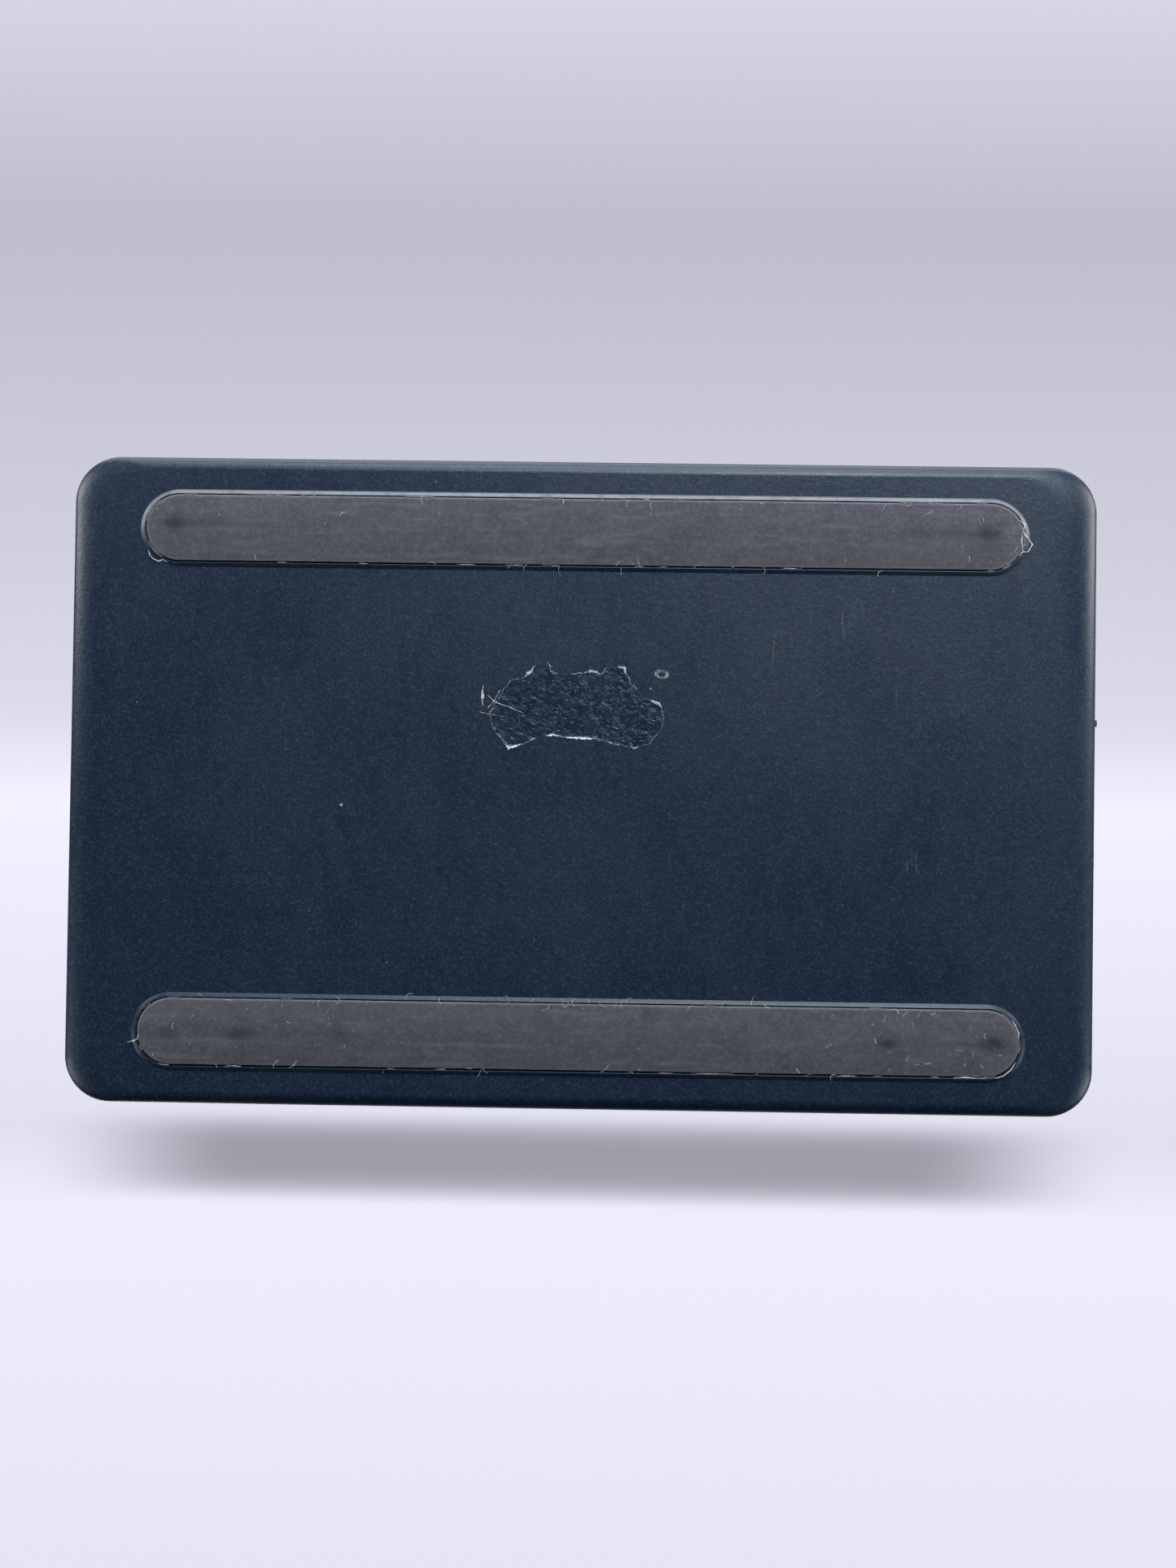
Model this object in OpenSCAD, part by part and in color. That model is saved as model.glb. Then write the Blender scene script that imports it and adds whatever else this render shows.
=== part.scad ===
// Pen drawing tablet: a thin two-part case with a drawing surface, six shortcut keys,
// a touch ring, two long rubber feet and the boards and battery inside.
// Millimetres. +Z is up towards the drawing surface, +X is right, +Y is away from the user.
// The origin is on the desk, below the middle of the tablet.

/* [Body] */
// Overall width, left to right
body_w = 269; // [267:1:340]
// Overall depth, near edge to far edge
body_d = 170; // [165:1:220]
// Thickness from the underside to the drawing surface
body_t = 8; // [8:0.1:12]
// Corner radius of the outline
corner_r = 12; // [9:0.5:18]
// Wall of the rear cover
wall = 1.3; // [1.1:0.1:1.6]
// How far in from the left and right edges the underside curls up
side_roll = 10; // [6:0.5:14]
// How far in from the near and far edges the underside curls up
end_roll = 3.5; // [2.5:0.25:5]
// Height of the curled edge
roll_h = 3.4; // [2.5:0.1:3.6]
// Visible height of the top frame's edge
frame_edge_h = 1; // [0.8:0.1:1.2]
// Thickness of the top frame's plate
frame_plate = 1.4; // [1.3:0.1:1.7]

/* [Feet] */
// Height of the rubber feet below the underside
foot_h = 0.9; // [0.7:0.1:1.5]
// Length of a rubber foot pad
pad_len = 229.8; // [180:0.2:232]
// Width of a rubber foot pad
pad_w = 17.3; // [12:0.1:22]
// Distance from the near or far edge to the middle of a foot
foot_inset = 19; // [17:0.5:24]
// Gap between a pad and its raised rim
pad_gap = 0.35; // [0.2:0.05:0.6]
// Width of the flat top of the raised rim
rim_crest = 0.65; // [0.4:0.05:1]
// Width of the rim's sloping outer side
rim_slope = 0.55; // [0.3:0.05:0.9]
// Height of the raised rim
rim_h = 0.5; // [0.3:0.05:0.6]
// Depth that the pad is let into the underside
pad_recess = 0.4; // [0.2:0.05:0.5]
// Thickness of the tape under a pad
pad_tape_t = 0.15; // [0.1:0.05:0.25]

/* [Drawing surface] */
// Width of the active drawing area
active_w = 160; // [120:1:164]
// Depth of the active drawing area
active_d = 100; // [80:1:115]
// Thickness of the drawing sheet
sheet_t = 0.3; // [0.2:0.05:0.5]
// Frame left bare at the near, far and right edges
sheet_border = 6; // [4:0.5:8]
// Width of the key column, left of the drawing sheet
key_column_w = 58; // [56:0.5:60]
// Corner radius of the drawing sheet
sheet_r = 5; // [2:0.5:8]
// Width of the sensor beyond the active area, at the left and right
sensor_margin = 13; // [5:0.5:14]
// Depth of the sensor beyond the active area, at the near and far ends
sensor_end_margin = 10; // [5:0.5:12]
// Thickness of the touch film
film_t = 0.3; // [0.2:0.05:0.4]
// Thickness of the digitizer board
digitizer_t = 0.8; // [0.6:0.1:1]
// Thickness of the shield sheet
shield_t = 0.5; // [0.2:0.05:0.6]

/* [Shortcut keys] */
// Distance from the left edge to the middle of the keys
key_inset = 27; // [26:0.5:29]
// Width of a key
key_w = 20; // [14:0.5:24]
// Depth of a key, front to back
key_d = 9; // [6:0.25:9.5]
// Gap between neighbouring keys
key_gap = 0.3; // [0.2:0.05:0.5]
// Gap between a key and the frame
key_frame_gap = 0.25; // [0.15:0.05:0.4]
// Height of a key above the drawing surface
key_proud = 0.2; // [0.1:0.05:0.3]
// Travel of a key and of the ring button
key_travel = 0.4; // [0.2:0.05:0.45]
// Distance from the ring's opening to the first key
key_ring_gap = 4; // [3:0.25:5]

/* [Touch ring] */
// Diameter of the touch ring's surface
ring_d = 40; // [34:0.5:42]
// Diameter of the button in the middle of the ring
ring_button_d = 12.4; // [9:0.2:16]
// Depth of the ring's rim below the drawing surface
ring_recess = 0.3; // [0.2:0.05:0.5]
// Depth of the dished groove that the finger follows
ring_dish = 0.35; // [0.2:0.05:0.4]
// Gap round the ring and round its button
ring_gap = 0.25; // [0.15:0.05:0.35]
// Distance of the four mode lights from the ring's middle, along X and along Y
mode_light_offset = 16.6; // [16.4:0.1:17]
// Diameter of a light guide
guide_d = 1.6; // [1.2:0.1:1.8]

/* [Side controls] */
// Distance of the touch switch's knob from the middle, towards the far edge
touch_switch_y = 18; // [16:0.5:20]
// Travel of the touch switch
touch_travel = 2; // [1.5:0.1:2.4]
// Length of the knob along the edge
knob_len = 1.8; // [1.4:0.1:2.4]
// Height of the knob
knob_h = 1.6; // [1.2:0.1:1.7]
// How far the knob stands out of the edge
knob_proud = 0.8; // [0.4:0.1:1.2]
// Distance of the power button from the middle, towards the near edge
power_y = 18; // [16:0.5:19]
// Length of the power button
power_len = 5.6; // [4:0.2:7]
// Height of the power button
power_h = 1.5; // [1.2:0.1:1.6]
// How far the power button stands out of the edge
power_proud = 0.3; // [0.2:0.05:0.6]
// Travel of the power button
power_travel = 0.3; // [0.2:0.05:0.4]
// Distance from the power button to its light
power_light_gap = 6.5; // [6:0.5:7]
// Gap round a moving piece in the side wall
side_gap = 0.15; // [0.1:0.05:0.25]

/* [Charging port] */
// Width of the port's opening
port_w = 6.9; // [6.8:0.05:7]
// Height of the port's opening
port_h = 1.85; // [1.8:0.05:1.9]
// Wall of the port's metal shell
port_shell_t = 0.3; // [0.2:0.05:0.3]
// Depth of the port's shell
port_depth = 5; // [4.5:0.1:5.2]
// Distance from the body's edge to the port's mouth
port_set_back = 0.5; // [0.3:0.1:0.7]
// Gap between the shell and the case
port_gap = 0.2; // [0.15:0.05:0.25]

/* [Boards and battery] */
// Thickness of the main board and the key board
board_t = 0.8; // [0.6:0.1:1]
// Height of the main board above the case floor
main_standoff = 1.7; // [1.7:0.1:1.9]
// Half the depth of the main board
main_half_d = 34; // [33:0.5:38]
// Distance from the left edge to the right side of the main board
main_reach = 64.5; // [63:0.5:65]
// Length of the battery
battery_w = 64; // [50:1:70]
// Depth of the battery
battery_d = 42; // [30:1:60]
// Thickness of the battery
battery_t = 3.3; // [2.5:0.1:3.4]
// Distance of the battery's middle to the left of the tablet's middle
battery_offset = 20; // [18:0.5:22]

/* [Screws] */
// Diameter of a case screw's thread
case_screw_d = 2; // [1.6:0.1:2.4]
// Diameter of a case screw's head
case_head_d = 3.8; // [3.4:0.1:4.2]
// Thickness of a case screw's head
case_head_h = 0.65; // [0.5:0.05:0.7]
// Distance from the left or right edge to the outer case screws
screw_inset = 27; // [26:0.5:32]
// Distance between the outer and the inner case screws of the near foot
screw_pitch = 23.5; // [20:0.5:40]
// Diameter of a board screw's thread
board_screw_d = 1.6; // [1.4:0.1:1.8]
// Diameter of a board screw's head
board_head_d = 2.8; // [2.4:0.1:3]
// Thickness of a board screw's head
board_head_h = 0.55; // [0.4:0.05:0.6]
// Radial gap between a screw's thread and its hole
thread_gap = 0.04; // [0.03:0.01:0.06]

/* [Hidden] */

$fn = 48;
// Overlap that joins two shapes of one piece, and overrun of a cut
join = 0.2;
// Facets of a circle inside a hull, and steps of the curled edge
hull_facets = 32;
roll_steps = 8;
// Thickness of a layer in a hull
layer_t = 0.01;
// Vertical running clearance of keys and buttons under what holds them
lift_gap = 0.05;
// Gap between a plunger and the dome that it presses
dome_gap = 0.02;

// Heights, from the desk up
under_z = foot_h;
floor_z = under_z + wall;
top_z = under_z + body_t;
parting_z = top_z - frame_edge_h;
plate_z = top_z - frame_plate;
sheet_z = top_z - sheet_t;
film_z = plate_z - film_t;
digitizer_z = film_z - digitizer_t;
shield_z = digitizer_z - shield_t;
pad_seat_z = under_z + pad_recess;
rim_z = under_z - rim_h;
main_z = floor_z + main_standoff;
main_top_z = main_z + board_t;

// Case edges and the curl inside the wall
left_x = -body_w / 2;
inner_left_x = left_x + wall;
cavity_roll_cut = 1;
cavity_roll_h = roll_h - 0.8;
edge_bevel = 0.4;
lip_t = 1;
lip_h = 0.3;
lip_gap = 0.15;
foot_y = body_d / 2 - foot_inset;
pocket_w = pad_w + 2 * pad_gap;
pocket_len = pad_len + 2 * pad_gap;

// Keys, counted from the far edge to the near edge
key_x = left_x + key_inset;
key_pitch = key_d + key_gap;
ring_opening_r = ring_d / 2 + ring_gap;
key_group_d = 3 * key_d + 2 * key_gap;
key_group_y = ring_opening_r + key_ring_gap + key_group_d / 2;
key_r = 0.8;
key_flange_t = 0.5;
key_flange_side = 1;
key_flange_top_z = plate_z - lift_gap;
key_flange_z = key_flange_top_z - key_flange_t;
key_plunger_h = 0.33;
key_plunger_r = 1.2;
key_dish = 0.2;
dish_rim = 0.6;
plunger_z = key_flange_z - key_plunger_h;
dome_r = 2.5;
dome_h = key_travel + 0.2;
dome_t = 0.12;
dome_steps = 6;
key_top_z = plunger_z - dome_gap - dome_h;
key_board_z = key_top_z - board_t;
key_board_w = 37;
key_screw_x = 15;
key_screw_y = key_group_y + key_group_d / 2 + 3.9;
key_board_d = 2 * (key_screw_y + 2.6);

// Touch ring
ring_flange_r = ring_d / 2 + 1.2;
ring_flange_t = 0.35;
ring_z = plate_z - ring_flange_t;
ring_rim_z = top_z - ring_recess;
ring_hole_r = ring_button_d / 2 + ring_gap;
ring_steps = 10;
ring_board_r = ring_d / 2 - 1;
ring_board_t = 0.8;
ring_button_flange_r = ring_hole_r + 1.1;
ring_board_hole_r = ring_button_flange_r + 0.6;
ring_button_flange_t = 0.3;
ring_button_flange_z = ring_z - lift_gap - ring_button_flange_t;
ring_button_z = ring_rim_z + 0.15;
guide_fit = 0.05;
guide_flange_r = guide_d / 2 + 0.5;
guide_flange_t = 0.4;
mode_light_h = 0.5;

// Side controls: all centred at one height in the upright part of the edge
side_z = main_top_z + 1.3;
tab_h = 2;
tab_t = 0.6;
tab_x = inner_left_x + 0.2;
main_left_x = inner_left_x + 2;
switch_x = main_left_x - 0.2;
switch_h = 2.2;
switch_depth = 3.3;
slide_switch_d = 8;
tab_side = 1;
tail_w = 1.2;
tail_h = 0.9;
tail_gap = 0.15;
tail_end_x = switch_x + 1.2;
end_gap = 0.3;
plunger_r = 0.7;
plunger_gap = 0.1;
plunger_end_x = switch_x + 1;
power_switch_d = 6;
pipe_r = 0.6;
pipe_flange = 0.4;
pipe_y = -power_y - power_light_gap;
light_w = 1.6;
light_t = 0.8;
power_light_h = 1.7;
port_x = left_x + port_set_back;
port_z = main_top_z + port_h / 2 + port_shell_t;
port_bevel = 0.9;
port_back_t = 0.4;
tongue_set_back = 0.6;
port_tongue_w = 3.7;
port_tongue_t = 0.6;
port_tongue_rise = 0.35;

// Drawing surface and sensor
sheet_left_x = left_x + key_column_w;
sheet_right_x = body_w / 2 - sheet_border;
sheet_w = sheet_right_x - sheet_left_x;
sheet_d = body_d - 2 * sheet_border;
sheet_x = (sheet_left_x + sheet_right_x) / 2;
sheet_gap = 0.1;
sensor_w = active_w + 2 * sensor_margin;
sensor_d = active_d + 2 * sensor_end_margin;
sensor_left_x = sheet_x - sensor_w / 2;
film_inset = 3;
tongue_w = 4;
tongue_d = 18;

// Screws. A head sinks below the pad's tape, and a pilot hole runs past the end of its screw
head_sink = 0.1;
head_gap = 0.2;
shank_gap = 0.15;
pilot_extra = 0.3;
boss_wall = 1.3;
case_boss_r = case_head_d / 2 + boss_wall;
frame_boss_r = case_screw_d / 2 + 1.5;
boss_meet_z = floor_z + 1.2;
case_bore_z = pad_seat_z + case_head_h + head_sink;
case_shank_end_z = plate_z - 1.1;
board_boss_r = board_screw_d / 2 + boss_wall;
board_screw_grip = 1.2;
main_screw_inset = 3;

// Main board layout, from its own left end
main_w = left_x + main_reach - main_left_x;
main_x = main_left_x + main_w / 2;
part_x = left_x + main_reach - 10;
socket_w = 4.4;
socket_h = 1.2;
socket_x = left_x + main_reach - 2 - socket_w / 2;
flex_t = 0.15;
flex_w = 14;
flex_y = 4;
flex_slot_z = main_top_z + 0.45;
lead_socket_w = 5;
lead_socket_d = 6.4;
lead_socket_h = 2;
lead_socket_x = left_x + main_reach - 1.5 - lead_socket_w / 2;
lead_y = -16;
lead_wire_r = 0.45;
lead_wire_pitch = 1.3;
lead_grip = 0.5;

// Wireless module, an upright card with a can over its parts
wireless_w = 11;
wireless_d = 13;
wireless_board_t = 0.5;
wireless_can_h = 1.1;
wireless_y = 21;

// Battery
battery_tape_t = 0.15;
battery_z = floor_z + battery_tape_t;
battery_left_x = -battery_offset - battery_w / 2;
battery_strip_w = 4;
battery_strip_t = 2;

// Ribs of the rear cover, which carry the sensor
rib_t = 0.9;
rib_gap = 0.05;
rib_top_z = shield_z - rib_gap;
rib_first_x = battery_w / 2 - battery_offset + 10;
rib_count = 4;
rib_pitch = (sensor_left_x + sensor_w - 4 - rib_first_x) / (rib_count - 1);
rib_cross_y = active_d * 0.3;

cover_color = [0.09, 0.12, 0.17];
frame_color = [0.05, 0.05, 0.06];
sheet_color = [0.07, 0.07, 0.08];
key_color = [0.08, 0.08, 0.09];
rubber_color = [0.28, 0.28, 0.32];
board_color = [0.05, 0.3, 0.16];
chip_color = [0.1, 0.1, 0.11];
steel_color = [0.7, 0.71, 0.72];

// ---- Shared shapes ----

module rounded_rect(w, d, r) {
  square([w - 2 * r, d], center = true);
  square([w, d - 2 * r], center = true);
  for (sx = [-1, 1], sy = [-1, 1])
    translate([sx * (w / 2 - r), sy * (d / 2 - r)]) circle(r);
}

module stadium(length, width) {
  square([length - width, width], center = true);
  for (s = [-1, 1]) translate([s * (length - width) / 2, 0]) circle(d = width);
}

// A flat outline raised from z0 to z1
module slab(z0, z1) {
  translate([0, 0, z0]) linear_extrude(z1 - z0) children();
}

// A block centred in X and Y at x, y
module block(x, y, w, d, z0, z1) {
  translate([x - w / 2, y - d / 2, z0]) cube([w, d, z1 - z0]);
}

// An outline in the Y-Z plane, carried from x0 to x1
module across(x0, x1, y, z) {
  translate([x0, y, z]) rotate([90, 0, 90]) linear_extrude(x1 - x0) children();
}

module post(x, y, r, z0, z1) {
  translate([x, y, z0]) cylinder(h = z1 - z0, r = r);
}

// A box with rounded upright corners whose underside curls up at its edges
module curled_box(w, d, r, curl_x, curl_y, curl_h, z0, z1) {
  hull() {
    for (i = [0 : roll_steps - 1]) {
      a = 90 * i / roll_steps;
      z = z0 + curl_h * (1 - cos(a));
      slab(z, z + layer_t)
        rounded_rect(w - 2 * curl_x * (1 - sin(a)), d - 2 * curl_y * (1 - sin(a)), r, $fn = hull_facets);
    }
    slab(z0 + curl_h, z1) rounded_rect(w, d, r, $fn = hull_facets);
  }
}

// Key places: 1 to 3 from the far edge towards the ring, 4 to 6 from the ring to the near edge
function key_y(n) =
  (n <= 3 ? key_group_y : -key_group_y) + (n <= 3 ? 2 - n : 5 - n) * key_pitch;

// Case screws: two under the far foot and four under the near one
outer_screw_x = body_w / 2 - screw_inset;
case_screw_places = [
  [-outer_screw_x, foot_y], [outer_screw_x, foot_y],
  [-outer_screw_x, -foot_y], [outer_screw_x, -foot_y],
  [-outer_screw_x + screw_pitch, -foot_y], [outer_screw_x - screw_pitch, -foot_y]
];
main_screw_places = [
  for (x = [main_left_x + main_screw_inset, left_x + main_reach - main_screw_inset], s = [-1, 1])
    [x, s * (main_half_d - main_screw_inset)]
];
key_screw_places = [
  for (sx = [-1, 1], sy = [-1, 1]) [key_x + sx * key_screw_x, sy * key_screw_y]
];
mode_light_places = [
  for (sx = [-1, 1], sy = [-1, 1]) [key_x + sx * mode_light_offset, sy * mode_light_offset]
];

// ---- Case ----

// A raised stadium with sloping sides, its crest at rim_z
module foot_rim() {
  crest_w = pocket_w + 2 * rim_crest;
  base_w = crest_w + 2 * rim_slope;
  straight = pocket_len - pocket_w;
  for (s = [-1, 1])
    translate([s * straight / 2, 0, rim_z]) cylinder(h = rim_h, d1 = crest_w, d2 = base_w);
  translate([-straight / 2, 0, rim_z])
    rotate([90, 0, 90])
      linear_extrude(straight)
        polygon([[-crest_w / 2, 0], [crest_w / 2, 0], [base_w / 2, rim_h], [-base_w / 2, rim_h]]);
  slab(under_z, under_z + join) stadium(straight + base_w, base_w);
}

module cover_ribs() {
  for (i = [0 : rib_count - 1])
    block(rib_first_x + i * rib_pitch, 0, rib_t, sensor_d - 8, floor_z - join, rib_top_z);
  for (s = [-1, 1])
    translate([rib_first_x, s * rib_cross_y - rib_t / 2, floor_z - join])
      cube([rib_pitch * (rib_count - 1), rib_t, rib_top_z - floor_z + join]);
}

// Stadium or round openings in the left wall, each with its own clearance
module side_openings() {
  x0 = left_x - 1;
  x1 = inner_left_x + 1;
  across(x0, x1, 0, port_z) port_outline(port_shell_t + port_gap);
  across(x0, x1, touch_switch_y - touch_travel / 2, side_z)
    square([knob_len + touch_travel + 2 * side_gap, knob_h + 2 * side_gap], center = true);
  across(x0, x1, -power_y, side_z) stadium(power_len + 2 * side_gap, power_h + 2 * side_gap);
  across(x0, x1, pipe_y, side_z) circle(pipe_r + guide_fit);
}

module rear_cover() {
  color(cover_color) difference() {
    union() {
      difference() {
        curled_box(body_w, body_d, corner_r, side_roll, end_roll, roll_h, under_z, parting_z);
        curled_box(body_w - 2 * wall, body_d - 2 * wall, corner_r - wall,
                   side_roll - cavity_roll_cut, end_roll - cavity_roll_cut, cavity_roll_h,
                   floor_z, parting_z + 1);
      }
      for (s = [-1, 1]) translate([0, s * foot_y, 0]) foot_rim();
      for (p = case_screw_places) post(p.x, p.y, case_boss_r, floor_z - join, boss_meet_z);
      for (p = main_screw_places) post(p.x, p.y, board_boss_r, floor_z - join, main_z);
      cover_ribs();
    }
    for (s = [-1, 1])
      translate([0, s * foot_y, 0]) slab(rim_z - 1, pad_seat_z) stadium(pocket_len, pocket_w);
    for (p = case_screw_places) {
      post(p.x, p.y, case_head_d / 2 + head_gap, pad_seat_z - join, case_bore_z);
      post(p.x, p.y, case_screw_d / 2 + shank_gap, case_bore_z - join, boss_meet_z + 1);
    }
    for (p = main_screw_places)
      post(p.x, p.y, board_screw_d / 2 + thread_gap, main_z - board_screw_grip - pilot_extra, main_z + 1);
    side_openings();
  }
}

module top_frame() {
  inner_w = body_w - 2 * (wall + lip_gap);
  inner_d = body_d - 2 * (wall + lip_gap);
  inner_r = corner_r - wall - lip_gap;
  color(frame_color) difference() {
    union() {
      hull() {
        slab(parting_z, top_z - edge_bevel) rounded_rect(body_w, body_d, corner_r, $fn = hull_facets);
        slab(top_z - layer_t, top_z)
          rounded_rect(body_w - 2 * edge_bevel, body_d - 2 * edge_bevel, corner_r - edge_bevel,
                       $fn = hull_facets);
      }
      slab(plate_z, parting_z + join) rounded_rect(inner_w, inner_d, inner_r);
      slab(plate_z - lip_h, plate_z + join) difference() {
        rounded_rect(inner_w, inner_d, inner_r);
        rounded_rect(inner_w - 2 * lip_t, inner_d - 2 * lip_t, inner_r - lip_t);
      }
      for (p = case_screw_places) post(p.x, p.y, frame_boss_r, boss_meet_z, plate_z + join);
      for (p = key_screw_places) post(p.x, p.y, board_boss_r, key_top_z, plate_z + join);
    }
    translate([sheet_x, 0, 0])
      slab(sheet_z, top_z + 1)
        rounded_rect(sheet_w + 2 * sheet_gap, sheet_d + 2 * sheet_gap, sheet_r + sheet_gap);
    for (s = [-1, 1])
      translate([key_x, s * key_group_y, 0])
        slab(plate_z - 1, top_z + 1)
          rounded_rect(key_w + 2 * key_frame_gap, key_group_d + 2 * key_frame_gap, key_r + key_frame_gap);
    post(key_x, 0, ring_opening_r, plate_z - 1, top_z + 1);
    for (p = mode_light_places) post(p.x, p.y, guide_d / 2 + guide_fit, plate_z - 1, top_z + 1);
    for (p = case_screw_places)
      post(p.x, p.y, case_screw_d / 2 + thread_gap, boss_meet_z - 1, case_shank_end_z + pilot_extra);
    for (p = key_screw_places)
      post(p.x, p.y, board_screw_d / 2 + thread_gap, key_top_z - 1,
           key_top_z + board_screw_grip + pilot_extra);
  }
}

// ---- Drawing surface and sensor stack ----

module drawing_sheet() {
  color(sheet_color)
    translate([sheet_x, 0, 0]) slab(sheet_z, top_z) rounded_rect(sheet_w, sheet_d, sheet_r);
}

module touch_sensor_film() {
  color([0.75, 0.6, 0.3])
    block(sheet_x, 0, sensor_w - 2 * film_inset, sensor_d - 2 * film_inset, film_z, plate_z);
}

module digitizer_board() {
  color(board_color) {
    block(sheet_x, 0, sensor_w, sensor_d, digitizer_z, film_z);
    translate([sensor_left_x - tongue_w, flex_y - tongue_d / 2, digitizer_z])
      cube([tongue_w + join, tongue_d, digitizer_t]);
  }
}

module shield_sheet() {
  color(steel_color) block(sheet_x, 0, sensor_w, sensor_d, shield_z, digitizer_z);
}

// ---- Main board ----

module main_board() {
  color(board_color) difference() {
    slab(main_z, main_top_z) translate([main_x, 0]) rounded_rect(main_w, 2 * main_half_d, 1.5);
    for (p = main_screw_places)
      post(p.x, p.y, board_screw_d / 2 + shank_gap, main_z - 1, main_top_z + 1);
  }
}

module main_board_chips() {
  // Distance along Y, side and height of each square chip
  chips = [[-2, 8, 1], [-24.5, 5, 0.9], [10, 4, 0.8]];
  color(chip_color)
    for (c = chips) block(part_x - 3, c[0], c[1], c[1], main_top_z, main_top_z + c[2]);
}

module wireless_board() {
  color([0.04, 0.12, 0.3])
    block(part_x - 2, wireless_y, wireless_w, wireless_d, main_top_z, main_top_z + wireless_board_t);
}

module wireless_can() {
  z0 = main_top_z + wireless_board_t;
  can_t = 0.2;
  can_w = wireless_w - 1;
  can_d = wireless_d - 4;
  y = wireless_y - 1.4;
  color(steel_color) difference() {
    block(part_x - 2, y, can_w, can_d, z0, z0 + wireless_can_h);
    block(part_x - 2, y, can_w - 2 * can_t, can_d - 2 * can_t, z0 - 1, z0 + wireless_can_h - can_t);
  }
}

module sensor_flex_socket() {
  slot_h = flex_t + 0.1;
  color([0.9, 0.88, 0.8]) difference() {
    block(socket_x, flex_y, socket_w, flex_w + 3, main_top_z, main_top_z + socket_h);
    block(socket_x + 1, flex_y, socket_w, flex_w + 0.4,
          flex_slot_z - slot_h / 2, flex_slot_z + slot_h / 2);
  }
}

// The ribbon: soldered under the digitizer's tongue, then down into its socket
module sensor_flex() {
  solder_x = sensor_left_x - 0.4;
  bend_x = sensor_left_x - tongue_w + 0.6;
  mouth_x = socket_x + socket_w / 2 + 0.2;
  end_x = mouth_x - 2;
  high = digitizer_z;
  low = flex_slot_z + flex_t / 2;
  bottom = [
    [end_x, low - flex_t], [mouth_x, low - flex_t],
    [bend_x, high - flex_t], [solder_x, high - flex_t]
  ];
  top = [[solder_x, high], [bend_x - flex_t, high], [mouth_x - flex_t, low], [end_x, low]];
  color([0.75, 0.45, 0.1])
    translate([0, flex_y + flex_w / 2, 0])
      rotate([90, 0, 0]) linear_extrude(flex_w) polygon(concat(bottom, top));
}

module battery_socket() {
  color([0.92, 0.91, 0.87])
    block(lead_socket_x, lead_y, lead_socket_w, lead_socket_d, main_top_z, main_top_z + lead_socket_h);
}

// ---- Battery ----

module battery() {
  color([0.72, 0.73, 0.75]) {
    slab(battery_z, battery_z + battery_t)
      translate([-battery_offset, 0]) rounded_rect(battery_w, battery_d, 2.5);
    translate([battery_left_x - battery_strip_w, -battery_d / 2 + 3, battery_z])
      cube([battery_strip_w + join, battery_d - 6, battery_strip_t]);
  }
}

module battery_tape() {
  color([0.85, 0.83, 0.75])
    block(-battery_offset, 0, battery_w - 8, battery_d - 8, floor_z, battery_z);
}

// Three wires from the battery's end strip up to the socket
module battery_lead() {
  start = [battery_left_x - battery_strip_w + lead_grip, battery_z + 1];
  end = [lead_socket_x + lead_socket_w / 2 - lead_grip, main_top_z + 1];
  run = norm(start - end);
  slope = atan2(end.y - start.y, start.x - end.x);
  wire_colors = ["black", "white", "firebrick"];
  for (i = [-1 : 1])
    color(wire_colors[i + 1])
      translate([start.x, lead_y + i * lead_wire_pitch, start.y])
        rotate([0, slope - 90, 0]) cylinder(h = run, r = lead_wire_r);
}

// ---- Key board ----

module key_board() {
  color(board_color) difference() {
    slab(key_board_z, key_top_z) translate([key_x, 0]) rounded_rect(key_board_w, key_board_d, 1.5);
    for (p = key_screw_places)
      post(p.x, p.y, board_screw_d / 2 + shank_gap, key_board_z - 1, key_top_z + 1);
  }
}

module key_board_link() {
  color([0.15, 0.14, 0.13]) block(key_x, 12, 12, 3, main_top_z, key_board_z);
}

// A thin sprung metal dome standing on the key board
module snap_dome(x, y) {
  arc_r = (dome_r * dome_r + dome_h * dome_h) / (2 * dome_h);
  sweep = asin(dome_r / arc_r);
  outer = [for (i = [0 : dome_steps]) let (a = sweep * i / dome_steps)
    [arc_r * sin(a), dome_h - arc_r * (1 - cos(a))]];
  inner = [for (i = [dome_steps : -1 : 0]) let (a = sweep * i / dome_steps)
    [(arc_r - dome_t) * sin(a), max(0, dome_h - dome_t - (arc_r - dome_t) * (1 - cos(a)))]];
  color(steel_color) translate([x, y, key_top_z]) rotate_extrude() polygon(concat(outer, inner));
}

module key_dome(n) {
  snap_dome(key_x, key_y(n));
}

module ring_button_dome() {
  snap_dome(key_x, 0);
}

module mode_lights() {
  color([0.95, 0.95, 0.88])
    for (p = mode_light_places)
      block(p.x, p.y, light_w, light_t, key_top_z, key_top_z + mode_light_h);
}

module mode_light_guides() {
  color([0.85, 0.88, 0.9])
    for (p = mode_light_places) {
      post(p.x, p.y, guide_d / 2, key_top_z + mode_light_h + lift_gap, top_z);
      post(p.x, p.y, guide_flange_r, plate_z - guide_flange_t, plate_z);
    }
}

// ---- Shortcut keys ----

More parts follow.
